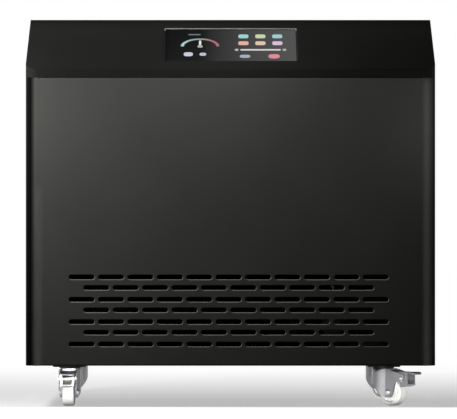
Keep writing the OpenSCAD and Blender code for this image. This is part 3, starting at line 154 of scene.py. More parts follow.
# the camera and the reflections get one shader, and all other rays the plainer one
def showApart(tree, plain, seen, out):
    path = tree.nodes.new("ShaderNodeLightPath")
    total = path.outputs["Is Camera Ray"]
    for ray in ("Is Glossy Ray", "Is Transmission Ray"):
        add = tree.nodes.new("ShaderNodeMath")
        add.operation = "MAXIMUM"
        tree.links.new(total, add.inputs[0])
        tree.links.new(path.outputs[ray], add.inputs[1])
        total = add.outputs[0]
    mix = tree.nodes.new("ShaderNodeMixShader")
    tree.links.new(total, mix.inputs["Fac"])
    tree.links.new(plain, mix.inputs[1])
    tree.links.new(seen, mix.inputs[2])
    tree.links.new(mix.outputs[0], out.inputs["Surface"])


white = (1, 1, 1)

backdrop = {
    "seen": 1.0,          # what the camera and the reflections see
    "lights": 0.03,       # what lights the object
}


def evenLight(tree, strength):
    shade = tree.nodes.new("ShaderNodeBackground")
    shade.inputs["Color"].default_value = (*white, 1)
    shade.inputs["Strength"].default_value = strength
    return shade.outputs[0]


def buildWorld():
    world = bpy.data.worlds.new("studio")
    bpy.context.scene.world = world
    world.use_nodes = True
    tree = world.node_tree
    tree.nodes.clear()
    out = tree.nodes.new("ShaderNodeOutputWorld")
    plain = evenLight(tree, backdrop["lights"])
    seen = evenLight(tree, backdrop["seen"])
    showApart(tree, plain, seen, out)


buildWorld()

# floor: white before the object; from its front edge on, pale grey over the whole width, part
# painted shadow of the cabinet and part the floor's own tone, and white again far behind
floorLook = {
    "size": 30.0,
    "whiteBefore": -0.226,
    "step": 0.0008,       # share of the tones' reach in which white turns to the first tone
    # the grey tones: painted shadow of the cabinet, fading into the floor's white behind it
    "tones": ((0.0, 0.48), (0.20, 0.495), (0.42, 0.60), (0.80, 0.79), (1.20, 0.95), (1.6, 1.0)),
    "ownLight": 1.0,
    "lit": 0.32,          # paper that takes the object's shadow
    "bounce": 0.25,       # paper that throws light back at the object
}


def paperOn(tree, tone):
    shade = tree.nodes.new("ShaderNodeBsdfDiffuse")
    shade.inputs["Color"].default_value = (tone, tone, tone, 1)
    return shade.outputs[0]


def buildFloor():
    bpy.ops.object.select_all(action="DESELECT")
    bpy.ops.mesh.primitive_plane_add(size=floorLook["size"], location=(0, 0, 0))
    floor = bpy.context.object
    floor.name = "floor"
    mat = bpy.data.materials.new("floorPaper")
    mat.use_nodes = True
    tree = mat.node_tree
    tree.nodes.clear()
    out = tree.nodes.new("ShaderNodeOutputMaterial")
    coord = tree.nodes.new("ShaderNodeTexCoord").outputs["Object"]
    start, reach = floorLook["whiteBefore"], floorLook["tones"][-1][0]
    stops = [(0.0, white)]
    for at, tone in floorLook["tones"]:
        stops.append((max(at / reach, floorLook["step"]), (tone,) * 3))
    glow = tree.nodes.new("ShaderNodeEmission")
    tones = rampOn(tree, alongAxis(tree, coord, "Y", start, start + reach), stops)
    tree.links.new(tones, glow.inputs["Color"])
    glow.inputs["Strength"].default_value = floorLook["ownLight"]
    seen = tree.nodes.new("ShaderNodeAddShader")
    tree.links.new(glow.outputs[0], seen.inputs[0])
    tree.links.new(paperOn(tree, floorLook["lit"]), seen.inputs[1])
    showApart(tree, paperOn(tree, floorLook["bounce"]), seen.outputs[0], out)
    floor.data.materials.append(mat)


buildFloor()
print("camera, light and floor ready")


# finishes: each look gives the patterns as scale, detail and roughness of a noise, the tones
# as places on the pattern with the share of the colour there, and the swing of the gloss
def startMaterial(name):
    mat = bpy.data.materials.new(name)
    mat.use_nodes = True
    tree = mat.node_tree
    shader = tree.nodes["Principled BSDF"]
    coord = tree.nodes.new("ShaderNodeTexCoord")
    return mat, tree, shader, coord.outputs["Object"]


def noiseOn(tree, coord, scale, detail, rough=0.5, stretch=None):
    noise = tree.nodes.new("ShaderNodeTexNoise")
    noise.inputs["Scale"].default_value = scale
    noise.inputs["Detail"].default_value = detail
    noise.inputs["Roughness"].default_value = rough
    if stretch:
        mapping = tree.nodes.new("ShaderNodeMapping")
        mapping.inputs["Scale"].default_value = stretch
        tree.links.new(coord, mapping.inputs["Vector"])
        coord = mapping.outputs[0]
    tree.links.new(coord, noise.inputs["Vector"])
    return noise.outputs["Fac"]


def tint(colour, factor):
    return tuple(min(c * factor, 1.0) for c in colour)


def mottleOn(tree, value, colour, tones):
    return rampOn(tree, value, [(at, tint(colour, share)) for at, share in tones])


def glossOn(tree, shader, value, rough, swing):
    span = tree.nodes.new("ShaderNodeMapRange")
    span.inputs["To Min"].default_value = rough + swing[0]
    span.inputs["To Max"].default_value = rough + swing[1]
    tree.links.new(value, span.inputs["Value"])
    tree.links.new(span.outputs[0], shader.inputs["Roughness"])


def bumpOn(tree, shader, height, strength, distance):
    bump = tree.nodes.new("ShaderNodeBump")
    bump.inputs["Strength"].default_value = strength
    bump.inputs["Distance"].default_value = distance
    tree.links.new(height, bump.inputs["Height"])
    tree.links.new(bump.outputs[0], shader.inputs["Normal"])


# painted shade: the paint grows darker towards an edge; axis, start, end and the shares kept on
# the way
def paintedShadeOn(tree, coord, paint, paintedShade):
    axis, start, end, shares = paintedShade
    way = alongAxis(tree, coord, axis, start, end)
    kept = rampOn(tree, way, [(at, (keep,) * 3) for at, keep in shares])
    mix = tree.nodes.new("ShaderNodeMix")
    mix.data_type = "RGBA"
    mix.blend_type = "MULTIPLY"
    mix.inputs["Factor"].default_value = 1.0
    tree.links.new(paint, mix.inputs[6])       # the two colours, past the sockets for numbers
    tree.links.new(kept, mix.inputs[7])
    return mix.outputs[2]


coatLook = {
    "cloud": (9.0, 4.0),
    "tones": ((0.3, 0.95), (0.7, 1.05)),
    "fine": (2.0, 0.6),   # the scale comes with each paint
    "swing": (-0.05, 0.07),
    "bump": (0.35, 0.00006),
}


def powderCoat(name, colour, rough=0.5, specular=0.02, grain=1400.0, paintedShades=()):
    mat, tree, shader, coord = startMaterial(name)
    cloud = noiseOn(tree, coord, *coatLook["cloud"])
    paint = mottleOn(tree, cloud, colour, coatLook["tones"])
    for paintedShade in paintedShades:
        paint = paintedShadeOn(tree, coord, paint, paintedShade)
    tree.links.new(paint, shader.inputs["Base Color"])
    fine = noiseOn(tree, coord, grain, *coatLook["fine"])
    glossOn(tree, shader, fine, rough, coatLook["swing"])
    shader.inputs["Specular IOR Level"].default_value = specular
    bumpOn(tree, shader, fine, *coatLook["bump"])
    return mat


plateLook = {
    "blotch": (60.0, 4.0),
    "tones": ((0.25, 0.86), (0.75, 1.06)),
    "streak": (900.0, 2.0, 0.5, (1.0, 1.0, 0.12)),    # drawn out along the height
    "swing": (-0.08, 0.12),
    "bump": (0.06, 0.00002),
}


def plated(name, colour, rough=0.32, metal=1.0):
    mat, tree, shader, coord = startMaterial(name)
    shader.inputs["Metallic"].default_value = metal
    blotch = noiseOn(tree, coord, *plateLook["blotch"])
    tree.links.new(mottleOn(tree, blotch, colour, plateLook["tones"]), shader.inputs["Base Color"])
    streak = noiseOn(tree, coord, *plateLook["streak"])
    glossOn(tree, shader, streak, rough, plateLook["swing"])
    bumpOn(tree, shader, streak, *plateLook["bump"])
    return mat


zincLook = {
    "cells": 130.0,
    "tones": ((0.2, 0.84), (0.8, 1.08)),
    "swing": (-0.08, 0.12),
}


def galvanised(name, colour, rough=0.42):
    mat, tree, shader, coord = startMaterial(name)
    shader.inputs["Metallic"].default_value = 1.0
    cells = tree.nodes.new("ShaderNodeTexVoronoi")
    cells.inputs["Scale"].default_value = zincLook["cells"]
    tree.links.new(coord, cells.inputs["Vector"])
    spangle = mottleOn(tree, cells.outputs["Color"], colour, zincLook["tones"])
    tree.links.new(spangle, shader.inputs["Base Color"])
    glossOn(tree, shader, cells.outputs["Distance"], rough, zincLook["swing"])
    return mat


copperLook = {
    "stain": (42.0, 5.0, 0.6),
    "tones": ((0.2, 0.6), (0.55, 1.0), (0.85, 1.15)),
    "swing": (-0.06, 0.2),
}


def copper(name, colour, rough=0.3):
    mat, tree, shader, coord = startMaterial(name)
    shader.inputs["Metallic"].default_value = 1.0
    stain = noiseOn(tree, coord, *copperLook["stain"])
    tree.links.new(mottleOn(tree, stain, colour, copperLook["tones"]), shader.inputs["Base Color"])
    glossOn(tree, shader, stain, rough, copperLook["swing"])
    return mat


plasticLook = {
    "cloud": (30.0, 3.0),
    "ends": (0.3, 0.7),   # places of the darkest and the palest tone
    "fine": (2.0,),
    "swing": (-0.06, 0.08),
    "bump": (0.25, 0.00004),
}


def moulded(name, colour, rough=0.45, specular=0.4, grain=900.0, scuff=0.08):
    mat, tree, shader, coord = startMaterial(name)
    cloud = noiseOn(tree, coord, *plasticLook["cloud"])
    dark, light = plasticLook["ends"]
    tones = ((dark, 1 - scuff), (light, 1 + scuff))
    tree.links.new(mottleOn(tree, cloud, colour, tones), shader.inputs["Base Color"])
    fine = noiseOn(tree, coord, grain, *plasticLook["fine"])
    glossOn(tree, shader, fine, rough, plasticLook["swing"])
    shader.inputs["Specular IOR Level"].default_value = specular
    bumpOn(tree, shader, fine, *plasticLook["bump"])
    return mat


boardLook = {
    "traces": 320.0,
    "gap": 0.06,
    "dim": 0.8,
    "bright": 1.5,
    "rough": 0.35,
}


def circuitBoard(name, colour):
    mat, tree, shader, coord = startMaterial(name)
    traces = tree.nodes.new("ShaderNodeTexBrick")
    traces.inputs["Scale"].default_value = boardLook["traces"]
    traces.inputs["Mortar Size"].default_value = boardLook["gap"]
    traces.inputs["Color1"].default_value = (*colour, 1)
    traces.inputs["Color2"].default_value = (*tint(colour, boardLook["dim"]), 1)
    traces.inputs["Mortar"].default_value = (*tint(colour, boardLook["bright"]), 1)
    tree.links.new(coord, traces.inputs["Vector"])
    tree.links.new(traces.outputs["Color"], shader.inputs["Base Color"])
    shader.inputs["Roughness"].default_value = boardLook["rough"]
    return mat


glassLook = {
    "haze": (25.0, 2.0),
    "tones": ((0.3, 0.9), (0.7, 1.1)),
    "swing": (0.0, 0.04),
    "across": (-0.09, 0.09),
    "paintedSheen": ((0.0, 0.002), (0.28, 0.004), (0.5, 0.05), (0.75, 0.12), (1.0, 0.2)),
}


def darkGlass(name, colour, rough=0.12):
    mat, tree, shader, coord = startMaterial(name)
    haze = noiseOn(tree, coord, *glassLook["haze"])
    tree.links.new(mottleOn(tree, haze, colour, glassLook["tones"]), shader.inputs["Base Color"])
    glossOn(tree, shader, haze, rough, glassLook["swing"])
    # painted reflection: the glass's specular level rises towards its right end, so it mirrors
    # more of the room there
    across = alongAxis(tree, coord, "X", *glassLook["across"])
    paintedSheen = rampOn(tree, across, [(at, (level,) * 3) for at, level in glassLook["paintedSheen"]])
    tree.links.new(paintedSheen, shader.inputs["Specular IOR Level"])
    return mat


printLook = {
    "grain": (380.0, 2.0),
    "tones": ((0.3, 0.82), (0.7, 1.0)),
    "glow": 1.0,
    "base": (0.02, 0.02, 0.02),
    "rough": 0.4,
    "specular": 0.02,
}


def selfLit(tree, shader, tone):
    tree.links.new(tone, shader.inputs["Emission Color"])
    shader.inputs["Emission Strength"].default_value = printLook["glow"]
    shader.inputs["Base Color"].default_value = (*printLook["base"], 1)
    shader.inputs["Specular IOR Level"].default_value = printLook["specular"]


def litPrint(name, colour):
    mat, tree, shader, coord = startMaterial(name)
    grain = noiseOn(tree, coord, *printLook["grain"])
    selfLit(tree, shader, mottleOn(tree, grain, colour, printLook["tones"]))
    shader.inputs["Roughness"].default_value = printLook["rough"]
    return mat


def litScale(name, stops, start, end):
    mat, tree, shader, coord = startMaterial(name)
    selfLit(tree, shader, rampOn(tree, alongAxis(tree, coord, "X", start, end), stops))
    return mat


# painted shade: the paint is darkened along the front panel's two bends and on the hood's slope,
# and the slots' painted highlights dim towards the left end of the panel
paintedShadeReach = {
    "bend": 0.02,
    "lip": 0.0105,        # the hood's lip, from its lower edge to the fold
}
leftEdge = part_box("front_panel")[0][0]
hoodLow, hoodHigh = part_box("hood")
leftBendShade = ("X", leftEdge, leftEdge + paintedShadeReach["bend"],
            ((0.0, 0.5), (0.06, 0.3), (0.14, 0.06), (0.33, 0.04), (0.40, 0.06), (0.46, 0.17),
             (0.53, 0.32), (0.60, 0.56), (0.67, 0.78), (0.75, 0.9), (1.0, 1.0)))
rightBendShade = ("X", -leftEdge - paintedShadeReach["bend"], -leftEdge,
             ((0.0, 1.0), (0.44, 1.0), (0.52, 0.86), (0.64, 0.73), (0.71, 0.6), (0.78, 0.46),
              (0.85, 0.32), (0.92, 0.15), (1.0, 0.5)))
# painted shade on the hood: darkest at the lip, paler up the slope, darker again at the top edge
hoodShade = ("Z", hoodLow[2] + paintedShadeReach["lip"], hoodHigh[2],
           ((0.0, 0.38), (0.03, 0.5), (0.2, 0.55), (0.5, 0.70), (0.8, 1.0), (0.92, 0.92),
            (1.0, 0.56)))
# painted highlight on the slots' edges, dimmer towards the left end of the panel
slotHighlightFalloff = ("X", leftEdge, -leftEdge, ((0.0, 0.62), (0.5, 0.72), (1.0, 1.0)))

panelGrey = (0.036, 0.036, 0.034)

finishes = {
    "panelPaint": powderCoat("panelPaint", panelGrey, specular=0.001),
    # the front panel's paint carries the painted shade of its two bends
    "frontPaintAndShade": powderCoat("frontPaintAndShade", panelGrey, specular=0.001,
                             paintedShades=(leftBendShade, rightBendShade)),
    # the hood's paint carries the painted shade of its lip and slope
    "hoodPaintAndShade": powderCoat("hoodPaintAndShade", (0.0205, 0.0205, 0.0186), specular=0.002,
                            paintedShades=(hoodShade,)),
    "bracketPaint": powderCoat("bracketPaint", (0.035, 0.035, 0.037), rough=0.45),
    # painted shade: the galvanised sheet inside the cabinet is darkened for the shade it lies in
    # behind the slots
    "zincSheetInPaintedShade": galvanised("zincSheetInPaintedShade", (0.16, 0.163, 0.166), rough=0.6),
    "zincPlate": plated("zincPlate", (0.31, 0.31, 0.325), rough=0.3, metal=0.75),
    # painted shade: the zinc-plated caster plates and bolts under the cabinet are coloured
    # near-black for the shade they lie in
    "casterSteelInPaintedShade": plated("casterSteelInPaintedShade", (0.03, 0.03, 0.032), rough=0.5),
    "brightZinc": plated("brightZinc", (0.78, 0.79, 0.8), rough=0.22),
    "blackScrew": plated("blackScrew", (0.03, 0.03, 0.03), rough=0.4),
    "blackPlastic": moulded("blackPlastic", (0.012, 0.012, 0.012)),
    "nylon": moulded("nylon", (0.8, 0.79, 0.76), rough=0.5, grain=500.0, scuff=0.04),
    "rubber": moulded("rubber", (0.014, 0.014, 0.015), rough=0.75, specular=0.25, grain=600.0),
    "fanPlastic": moulded("fanPlastic", (0.02, 0.02, 0.022), rough=0.5),
    "barrelPlastic": moulded("barrelPlastic", (0.008, 0.009, 0.01), rough=0.6, specular=0.05),
    "rockerPlastic": moulded("rockerPlastic", (0.12, 0.008, 0.008), rough=0.25),
    "shellPaint": powderCoat("shellPaint", (0.004, 0.004, 0.0045), rough=0.4, grain=500.0),
    "pumpPaint": powderCoat("pumpPaint", (0.03, 0.036, 0.042), rough=0.4, specular=0.4,
                            grain=700.0),
    # painted shade: the copper inside the cabinet is coloured near-black for the shade it lies in
    # behind the slots
    "copperInPaintedShade": copper("copperInPaintedShade", (0.028, 0.017, 0.012), rough=0.65),
    "brass": copper("brass", (0.6, 0.42, 0.18), rough=0.36),
    "castMetal": galvanised("castMetal", (0.42, 0.43, 0.44), rough=0.5),
    # painted shade: the condenser's aluminium fins are coloured near-black for the shade inside
    # the cabinet
    "finsInPaintedShade": powderCoat("finsInPaintedShade", (0.012, 0.013, 0.014), rough=0.6, specular=0.05),
    # the slots' edges: painted highlight on the lower and right ones, painted shade on the upper
    # ones
    "slotPaintedHighlight": powderCoat("slotPaintedHighlight", (0.175, 0.175, 0.165), specular=0.03, paintedShades=(slotHighlightFalloff,)),
    "slotShade": powderCoat("slotShade", (0.008, 0.008, 0.008), rough=0.6, specular=0.01),
    "boardGreen": circuitBoard("boardGreen", (0.02, 0.12, 0.05)),
    "glass": darkGlass("glass", (0.006, 0.0062, 0.0066)),
}

finishOf = {
    "panelPaint": ("base_pan", "front_panel", "left_side_panel", "right_side_panel",
                   "rear_panel"),
    "hoodPaintAndShade": ("hood",),
    "bracketPaint": ("motor_bracket", "exchanger_base", "pump_bracket", "fan_shroud"),
    "zincSheetInPaintedShade": ("corner_posts", "inner_shelf", "control_box", "display_module"),
    "zincPlate": ("front_left_fork", "front_right_fork", "rear_left_fork", "rear_right_fork",
                  "front_left_pedal", "front_right_pedal"),
    "casterSteelInPaintedShade": ("caster_plates", "caster_bolts"),
    "brightZinc": ("front_left_pins", "front_right_pins", "rear_left_pins", "rear_right_pins"),
    "blackScrew": ("panel_screws",),
    "blackPlastic": ("display_bezel", "cable_gland", "switch_housing"),
    "nylon": ("front_left_wheel", "front_right_wheel", "rear_left_wheel", "rear_right_wheel"),
    "rubber": ("compressor_grommets", "inlet_hose", "pump_hose", "outlet_hose"),
    "fanPlastic": ("fan",),
    "barrelPlastic": ("heat_exchanger",),
    "rockerPlastic": ("power_rocker",),
    "shellPaint": ("compressor", "suction_accumulator"),
    "pumpPaint": ("pump",),
    "copperInPaintedShade": ("condenser_tube", "discharge_line", "suction_line", "gas_lines",
                   "liquid_lines", "filter_drier"),
    "brass": ("reversing_valve", "water_inlet", "water_outlet", "port_nuts"),
    "castMetal": ("fan_motor",),
    "finsInPaintedShade": ("condenser_fins",),
    "boardGreen": ("display_board",),
    "glass": ("display_glass",),
}
for finish, names in finishOf.items():
    for node in names:
        slots = cad[node].data.materials
        slots.clear()
        slots.append(finishes[finish])
print("finishes on", sum(len(names) for names in finishOf.values()), "nodes")

# shared by the pieces that are modelled here
modelling = {
    "smooth": 35.0,       # faces that meet at a smaller angle are shaded as one, degrees
    "weld": 0.000005,     # corners nearer than this become one
}


def place(obj, matrix):
    obj.data.transform(matrix)
    obj.data.update()


def pick(obj):
    bpy.ops.object.select_all(action="DESELECT")
    bpy.context.view_layer.objects.active = obj
    obj.select_set(True)


# goes into edit mode with only those edges selected whose two ends pass the test
def pickEdges(obj, wanted):
    bpy.ops.object.mode_set(mode="EDIT")
    bpy.ops.mesh.select_mode(type="EDGE")
    bpy.ops.mesh.select_all(action="DESELECT")
    bpy.ops.object.mode_set(mode="OBJECT")
    for edge in obj.data.edges:
        a, b = (obj.data.vertices[v].co for v in edge.vertices)
        edge.select = wanted(a, b)
    bpy.ops.object.mode_set(mode="EDIT")


def finishPiece(obj, name, finish, body):
    obj.name = name
    pick(obj)
    bpy.ops.object.mode_set(mode="EDIT")
    bpy.ops.mesh.select_all(action="SELECT")
    bpy.ops.mesh.normals_make_consistent(inside=False)
    bpy.ops.object.mode_set(mode="OBJECT")
    bpy.ops.object.shade_smooth_by_angle(angle=math.radians(modelling["smooth"]))
    if finish is not None:
        obj.data.materials.clear()
        obj.data.materials.append(finish)
    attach(obj, body)


def copyOfNode(node):
    source = cad[node]
    obj = bpy.data.objects.new(node + "Dressed", source.data.copy())
    bpy.context.collection.objects.link(obj)
    place(obj, source.matrix_world)
    pick(obj)
    bpy.ops.mesh.customdata_custom_splitnormals_clear()
    bpy.ops.object.mode_set(mode="EDIT")
    bpy.ops.mesh.select_all(action="SELECT")
    bpy.ops.mesh.remove_doubles(threshold=modelling["weld"])
    bpy.ops.mesh.normals_make_consistent(inside=False)
    bpy.ops.object.mode_set(mode="OBJECT")
    return obj


# front panel: the punched slots get their rolled outer edges
panelEdges = {
    "roll": 0.0009,
    "steps": 3,
    "profile": 0.5,
    "sharp": 50.0,        # degrees
    "plane": 0.00005,     # an edge this near to the front face lies in it
    "margin": 0.02,       # the slots keep this far from the panel's outline
    "litWay": (-0.45, 0.0, 0.9),
    "turn": 0.2,
    "finishes": ("frontPaintAndShade", "slotPaintedHighlight", "slotShade"),
}


def dressFrontPanel():
    panel = copyOfNode("front_panel")
    low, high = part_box("front_panel")
    bpy.ops.object.mode_set(mode="EDIT")
    bpy.ops.mesh.select_mode(type="EDGE")
    bpy.ops.mesh.select_all(action="DESELECT")
    bpy.ops.mesh.edges_select_sharp(sharpness=math.radians(panelEdges["sharp"]))
    bpy.ops.object.mode_set(mode="OBJECT")
    mesh = panel.data
    margin = panelEdges["margin"]
    for edge in mesh.edges:
        ends = [mesh.vertices[v].co for v in edge.vertices]
        atFront = all(abs(co.y - low[1]) < panelEdges["plane"] for co in ends)
        inField = all(low[axis] + margin < co[axis] < high[axis] - margin
                      for co in ends for axis in (0, 2))
        edge.select = edge.select and atFront and inField
    print("slot edges:", sum(edge.select for edge in mesh.edges))
    mesh.materials.clear()
    for finish in panelEdges["finishes"]:
        mesh.materials.append(finishes[finish])
    bpy.ops.object.mode_set(mode="EDIT")
    bpy.ops.mesh.bevel(offset=panelEdges["roll"], offset_type="OFFSET", affect="EDGES",
                       segments=panelEdges["steps"], profile=panelEdges["profile"],
                       clamp_overlap=True)
    bpy.ops.object.mode_set(mode="OBJECT")
    # painted highlight and shade: the lower and right edges get the pale slot-edge paint, as if
    # they caught the light, the upper ones the near-black paint of shade
    litWay = Vector(panelEdges["litWay"])
    for face in panel.data.polygons:
        if not face.select:
            continue
        turn = face.normal.dot(litWay)
        if turn > panelEdges["turn"]:
            face.material_index = panelEdges["finishes"].index("slotPaintedHighlight")
        elif turn < -panelEdges["turn"]:
            face.material_index = panelEdges["finishes"].index("slotShade")
        else:
            face.material_index = panelEdges["finishes"].index("frontPaintAndShade")
    finishPiece(panel, "frontPanelPressing", None, "cabinet")
    # the large flat face keeps its own normals, so that the bends throw no shade across it
    level = panel.modifiers.new("level", "WEIGHTED_NORMAL")
    level.keep_sharp = True
    bpy.ops.object.modifier_apply(modifier=level.name)
    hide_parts("front_panel")


dressFrontPanel()
print("front panel dressed")

# condenser: between its plates run the thin wavy fins that close the view through it
wavyFins = {
    "pitch": 0.0032,
    "thick": 0.00015,
    "wave": 0.0026,       # sideways swing, over half the pitch, so that no straight gap is left
    "waves": 2,
    "cuts": 23,
    "margin": 0.002,
}


def buildWavyFins():
    low, high = (Vector(corner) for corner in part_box("condenser_fins"))
    low += Vector((1, 1, 1)) * wavyFins["margin"]
    high -= Vector((1, 1, 1)) * wavyFins["margin"]
    span = high - low
    bpy.ops.object.select_all(action="DESELECT")
    bpy.ops.mesh.primitive_plane_add(size=1)
    fin = bpy.context.object
    upright = Matrix.Rotation(math.radians(90), 4, "Y")
    fin.data.transform(Matrix.Diagonal((1, span.y, span.z, 1)) @ upright)
    # only the two edges along the air's way are divided
    pickEdges(fin, lambda a, b: abs(a.y - b.y) > span.y / 2)
    bpy.ops.mesh.subdivide(number_cuts=wavyFins["cuts"])
    bpy.ops.object.mode_set(mode="OBJECT")
    for corner in fin.data.vertices:
        share = corner.co.y / span.y + 0.5
        corner.co.x = wavyFins["wave"] * math.sin(2 * math.pi * wavyFins["waves"] * share)
    wall = fin.modifiers.new("wall", "SOLIDIFY")
    wall.thickness = wavyFins["thick"]
    bpy.ops.object.modifier_apply(modifier=wall.name)
    room = span.x - 2 * wavyFins["wave"]
    count = int(room / wavyFins["pitch"]) + 1
    row = fin.modifiers.new("row", "ARRAY")
    row.count = count
    row.use_relative_offset = False
    row.use_constant_offset = True
    row.constant_offset_displace = (wavyFins["pitch"], 0, 0)
    bpy.ops.object.modifier_apply(modifier=row.name)
    middle = (low + high) / 2
    place(fin, Matrix.Translation((low.x + wavyFins["wave"], middle.y, middle.z)))
    finishPiece(fin, "wavyFins", finishes["finsInPaintedShade"], "cabinet")
    print("wavy fins:", count, "of", len(fin.data.polygons) // count, "faces")


buildWavyFins()

# display: what it shows lies in thin prints on the glass, in the plane of the sloping deck
display = {
    "rise": 0.075,        # the deck's slope
    "run": 0.152,
    "lift": 0.00012,      # from the glass to the prints
    "print": 0.0002,      # thickness of the prints
    "cornerSteps": 6,
}
slope = math.atan2(display["rise"], display["run"])


def glassFrame():
    low, high = (Vector(corner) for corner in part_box("display_glass"))
    centre = (low + high) / 2
    span = high - low
    # the box of a tilted plate gives its height and thickness
    s, c = math.sin(slope), math.cos(slope)
    height = (span.y * c - span.z * s) / (c * c - s * s)
    thick = (span.z - height * s) / c
    top = centre + Vector((0, -s, c)) * thick / 2
    return Matrix.Translation(top) @ Matrix.Rotation(slope, 4, "X"), span.x, height


onGlass, glassWide, glassHigh = glassFrame()
print("glass: %.1f x %.1f mm" % (glassWide * 1000, glassHigh * 1000))


# a thin tile from a cube, with its upright edges rounded
def tile(wide, high, corner):
    bpy.ops.mesh.primitive_cube_add(size=1)
    obj = bpy.context.object
    obj.data.transform(Matrix.Diagonal((wide, high, display["print"], 1)))
    pickEdges(obj, lambda a, b: abs(a.z - b.z) > display["print"] / 2)
    bpy.ops.mesh.bevel(offset=corner, segments=display["cornerSteps"], affect="EDGES")
    bpy.ops.object.mode_set(mode="OBJECT")
    return obj


def onDisplay(obj, x, y, name, finish):
    rise = display["lift"] + display["print"] / 2
    place(obj, onGlass @ Matrix.Translation((x, y, rise)))
    finishPiece(obj, name, finish, "cabinet")


tiles = {
    "wide": 0.0140,
    "high": 0.0128,
    "corner": 0.0035,
    "across": 3,
    "step": (0.0235, 0.0235),
    "first": (0.018, 0.030),
    "colours": (
        ("tileTeal", (0.32, 0.66, 0.60)), ("tileLime", (0.60, 0.68, 0.42)),
        ("tileSky", (0.36, 0.62, 0.66)), ("tilePeach", (0.85, 0.44, 0.36)),
        ("tileSand", (0.80, 0.58, 0.44)), ("tileLilac", (0.74, 0.52, 0.72)),
    ),
}


def buildTiles():
    for i, (name, colour) in enumerate(tiles["colours"]):
        line, column = divmod(i, tiles["across"])
        x = tiles["first"][0] + column * tiles["step"][0]
        y = tiles["first"][1] - line * tiles["step"][1]
        obj = tile(tiles["wide"], tiles["high"], tiles["corner"])
        onDisplay(obj, x, y, name, litPrint(name, colour))


buildTiles()

gauge = {
    "at": (-0.042, -0.004),
    "radius": 0.0245,
    "line": 0.0042,
    "steps": 40,
    "weld": 0.00001,
    "scale": ((0.0, (0.42, 0.62, 0.62)), (0.35, (0.26, 0.38, 0.33)), (0.6, (0.28, 0.30, 0.27)),
              (0.8, (0.38, 0.14, 0.16)), (1.0, (0.40, 0.12, 0.15))),
}


def buildGauge():
    bpy.ops.mesh.primitive_plane_add(size=1)
    arc = bpy.context.object
    flat = Matrix.Diagonal((gauge["line"], display["print"], 1, 1))
    upright = Matrix.Rotation(math.radians(90), 4, "X")
    arc.data.transform(Matrix.Translation((gauge["radius"], 0, 0)) @ upright @ flat)
    bpy.ops.object.mode_set(mode="EDIT")
    bpy.ops.mesh.select_all(action="SELECT")
    bpy.ops.mesh.spin(steps=gauge["steps"], angle=-math.pi, center=(0, 0, 0), axis=(0, 0, 1))
    bpy.ops.mesh.select_all(action="SELECT")
    bpy.ops.mesh.remove_doubles(threshold=gauge["weld"])
    bpy.ops.object.mode_set(mode="OBJECT")
    # spin can turn either way, and the arc stands over its middle
    if max(v.co.y for v in arc.data.vertices) < gauge["radius"] / 2:
        arc.data.transform(Matrix.Rotation(math.pi, 4, "Z"))
    x, y = gauge["at"]
    reach = gauge["radius"] + gauge["line"] / 2
    onDisplay(arc, x, y, "gaugeArc", litScale("gaugeScale", gauge["scale"], x - reach, x + reach))


buildGauge()

# the plain bars and pads: place, width and height, corner and colour
prints = {
    "gaugePointer": ((-0.042, 0.0080), (0.0032, 0.0150), 0.0013, (0.80, 0.82, 0.80)),
    "gaugeHub": ((-0.042, -0.0045), (0.0070, 0.0080), 0.0030, (0.45, 0.46, 0.45)),
    "levelBar": ((0.0415, -0.016), (0.056, 0.0046), 0.0019, (0.72, 0.71, 0.69)),
    "levelEndLeft": ((0.0085, -0.016), (0.0050, 0.0070), 0.0022, (0.45, 0.46, 0.45)),
    "levelEndRight": ((0.0745, -0.016), (0.0050, 0.0070), 0.0022, (0.45, 0.46, 0.45)),
    "padPale": ((-0.058, -0.031), (0.0125, 0.0130), 0.0045, (0.62, 0.62, 0.72)),
    "padSmall": ((-0.038, -0.031), (0.0090, 0.0100), 0.0035, (0.50, 0.54, 0.68)),
    "padBlue": ((0.020, -0.038), (0.0145, 0.0105), 0.0045, (0.36, 0.43, 0.50)),
    "padRed": ((0.060, -0.038), (0.0155, 0.0145), 0.0058, (0.74, 0.25, 0.29)),
    "lineText": ((-0.050, 0.036), (0.0170, 0.0032), 0.0012, (0.16, 0.21, 0.27)),
}
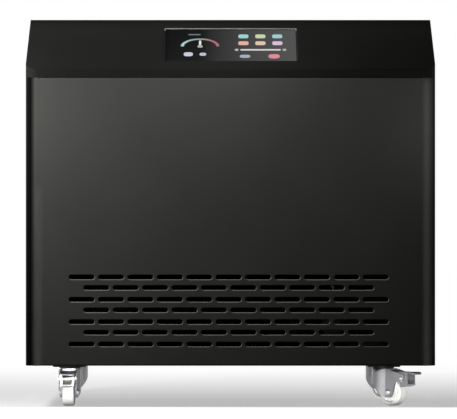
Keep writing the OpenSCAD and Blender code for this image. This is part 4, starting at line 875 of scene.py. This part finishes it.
for name, ((x, y), (wide, high), corner, colour) in prints.items():
    onDisplay(tile(wide, high, corner), x, y, name, litPrint(name, colour))
print("display prints:", len(prints) + len(tiles["colours"]) + 1)

# border of the glass: a thin dark frame with a painted highlight along its upper side and a faint
# one along its lower side
border = {
    "wide": 0.0016,
    "thick": 0.0003,
    "inset": 0.0002,
    "roundShare": 3,      # the rims are rounded over the thickness divided by this
    "steps": 2,
    "tones": ((0.0, (0.06, 0.06, 0.058)), (0.08, (0.010, 0.010, 0.010)),
              (0.93, (0.012, 0.012, 0.012)), (0.97, (0.55, 0.55, 0.53))),
    "rough": 0.5,
    "specular": 0.02,
}


def borderWithPaintedHighlight():
    mat, tree, shader, coord = startMaterial("borderWithPaintedHighlight")
    low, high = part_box("display_glass")
    up = alongAxis(tree, coord, "Z", low[2], high[2])
    tree.links.new(rampOn(tree, up, border["tones"]), shader.inputs["Base Color"])
    shader.inputs["Roughness"].default_value = border["rough"]
    shader.inputs["Specular IOR Level"].default_value = border["specular"]
    return mat


def buildBorder():
    bpy.ops.mesh.primitive_plane_add(size=1)
    frameRing = bpy.context.object
    wide, high = glassWide - 2 * border["inset"], glassHigh - 2 * border["inset"]
    frameRing.data.transform(Matrix.Diagonal((wide, high, 1, 1)))
    bpy.ops.object.mode_set(mode="EDIT")
    bpy.ops.mesh.select_all(action="SELECT")
    bpy.ops.mesh.inset(thickness=border["wide"], depth=0)
    bpy.ops.mesh.delete(type="FACE")
    bpy.ops.mesh.select_all(action="SELECT")
    bpy.ops.mesh.extrude_region_move(TRANSFORM_OT_translate={"value": (0, 0, border["thick"])})
    bpy.ops.object.mode_set(mode="OBJECT")
    rim = frameRing.modifiers.new("edge", "BEVEL")
    rim.width = border["thick"] / border["roundShare"]
    rim.segments = border["steps"]
    bpy.ops.object.modifier_apply(modifier=rim.name)
    place(frameRing, onGlass @ Matrix.Translation((0, 0, display["lift"])))
    finishPiece(frameRing, "glassBorder", borderWithPaintedHighlight(), "cabinet")


buildBorder()
print("display ready")

bpy.context.scene.view_settings.view_transform = "Standard"
low, high = cadBox
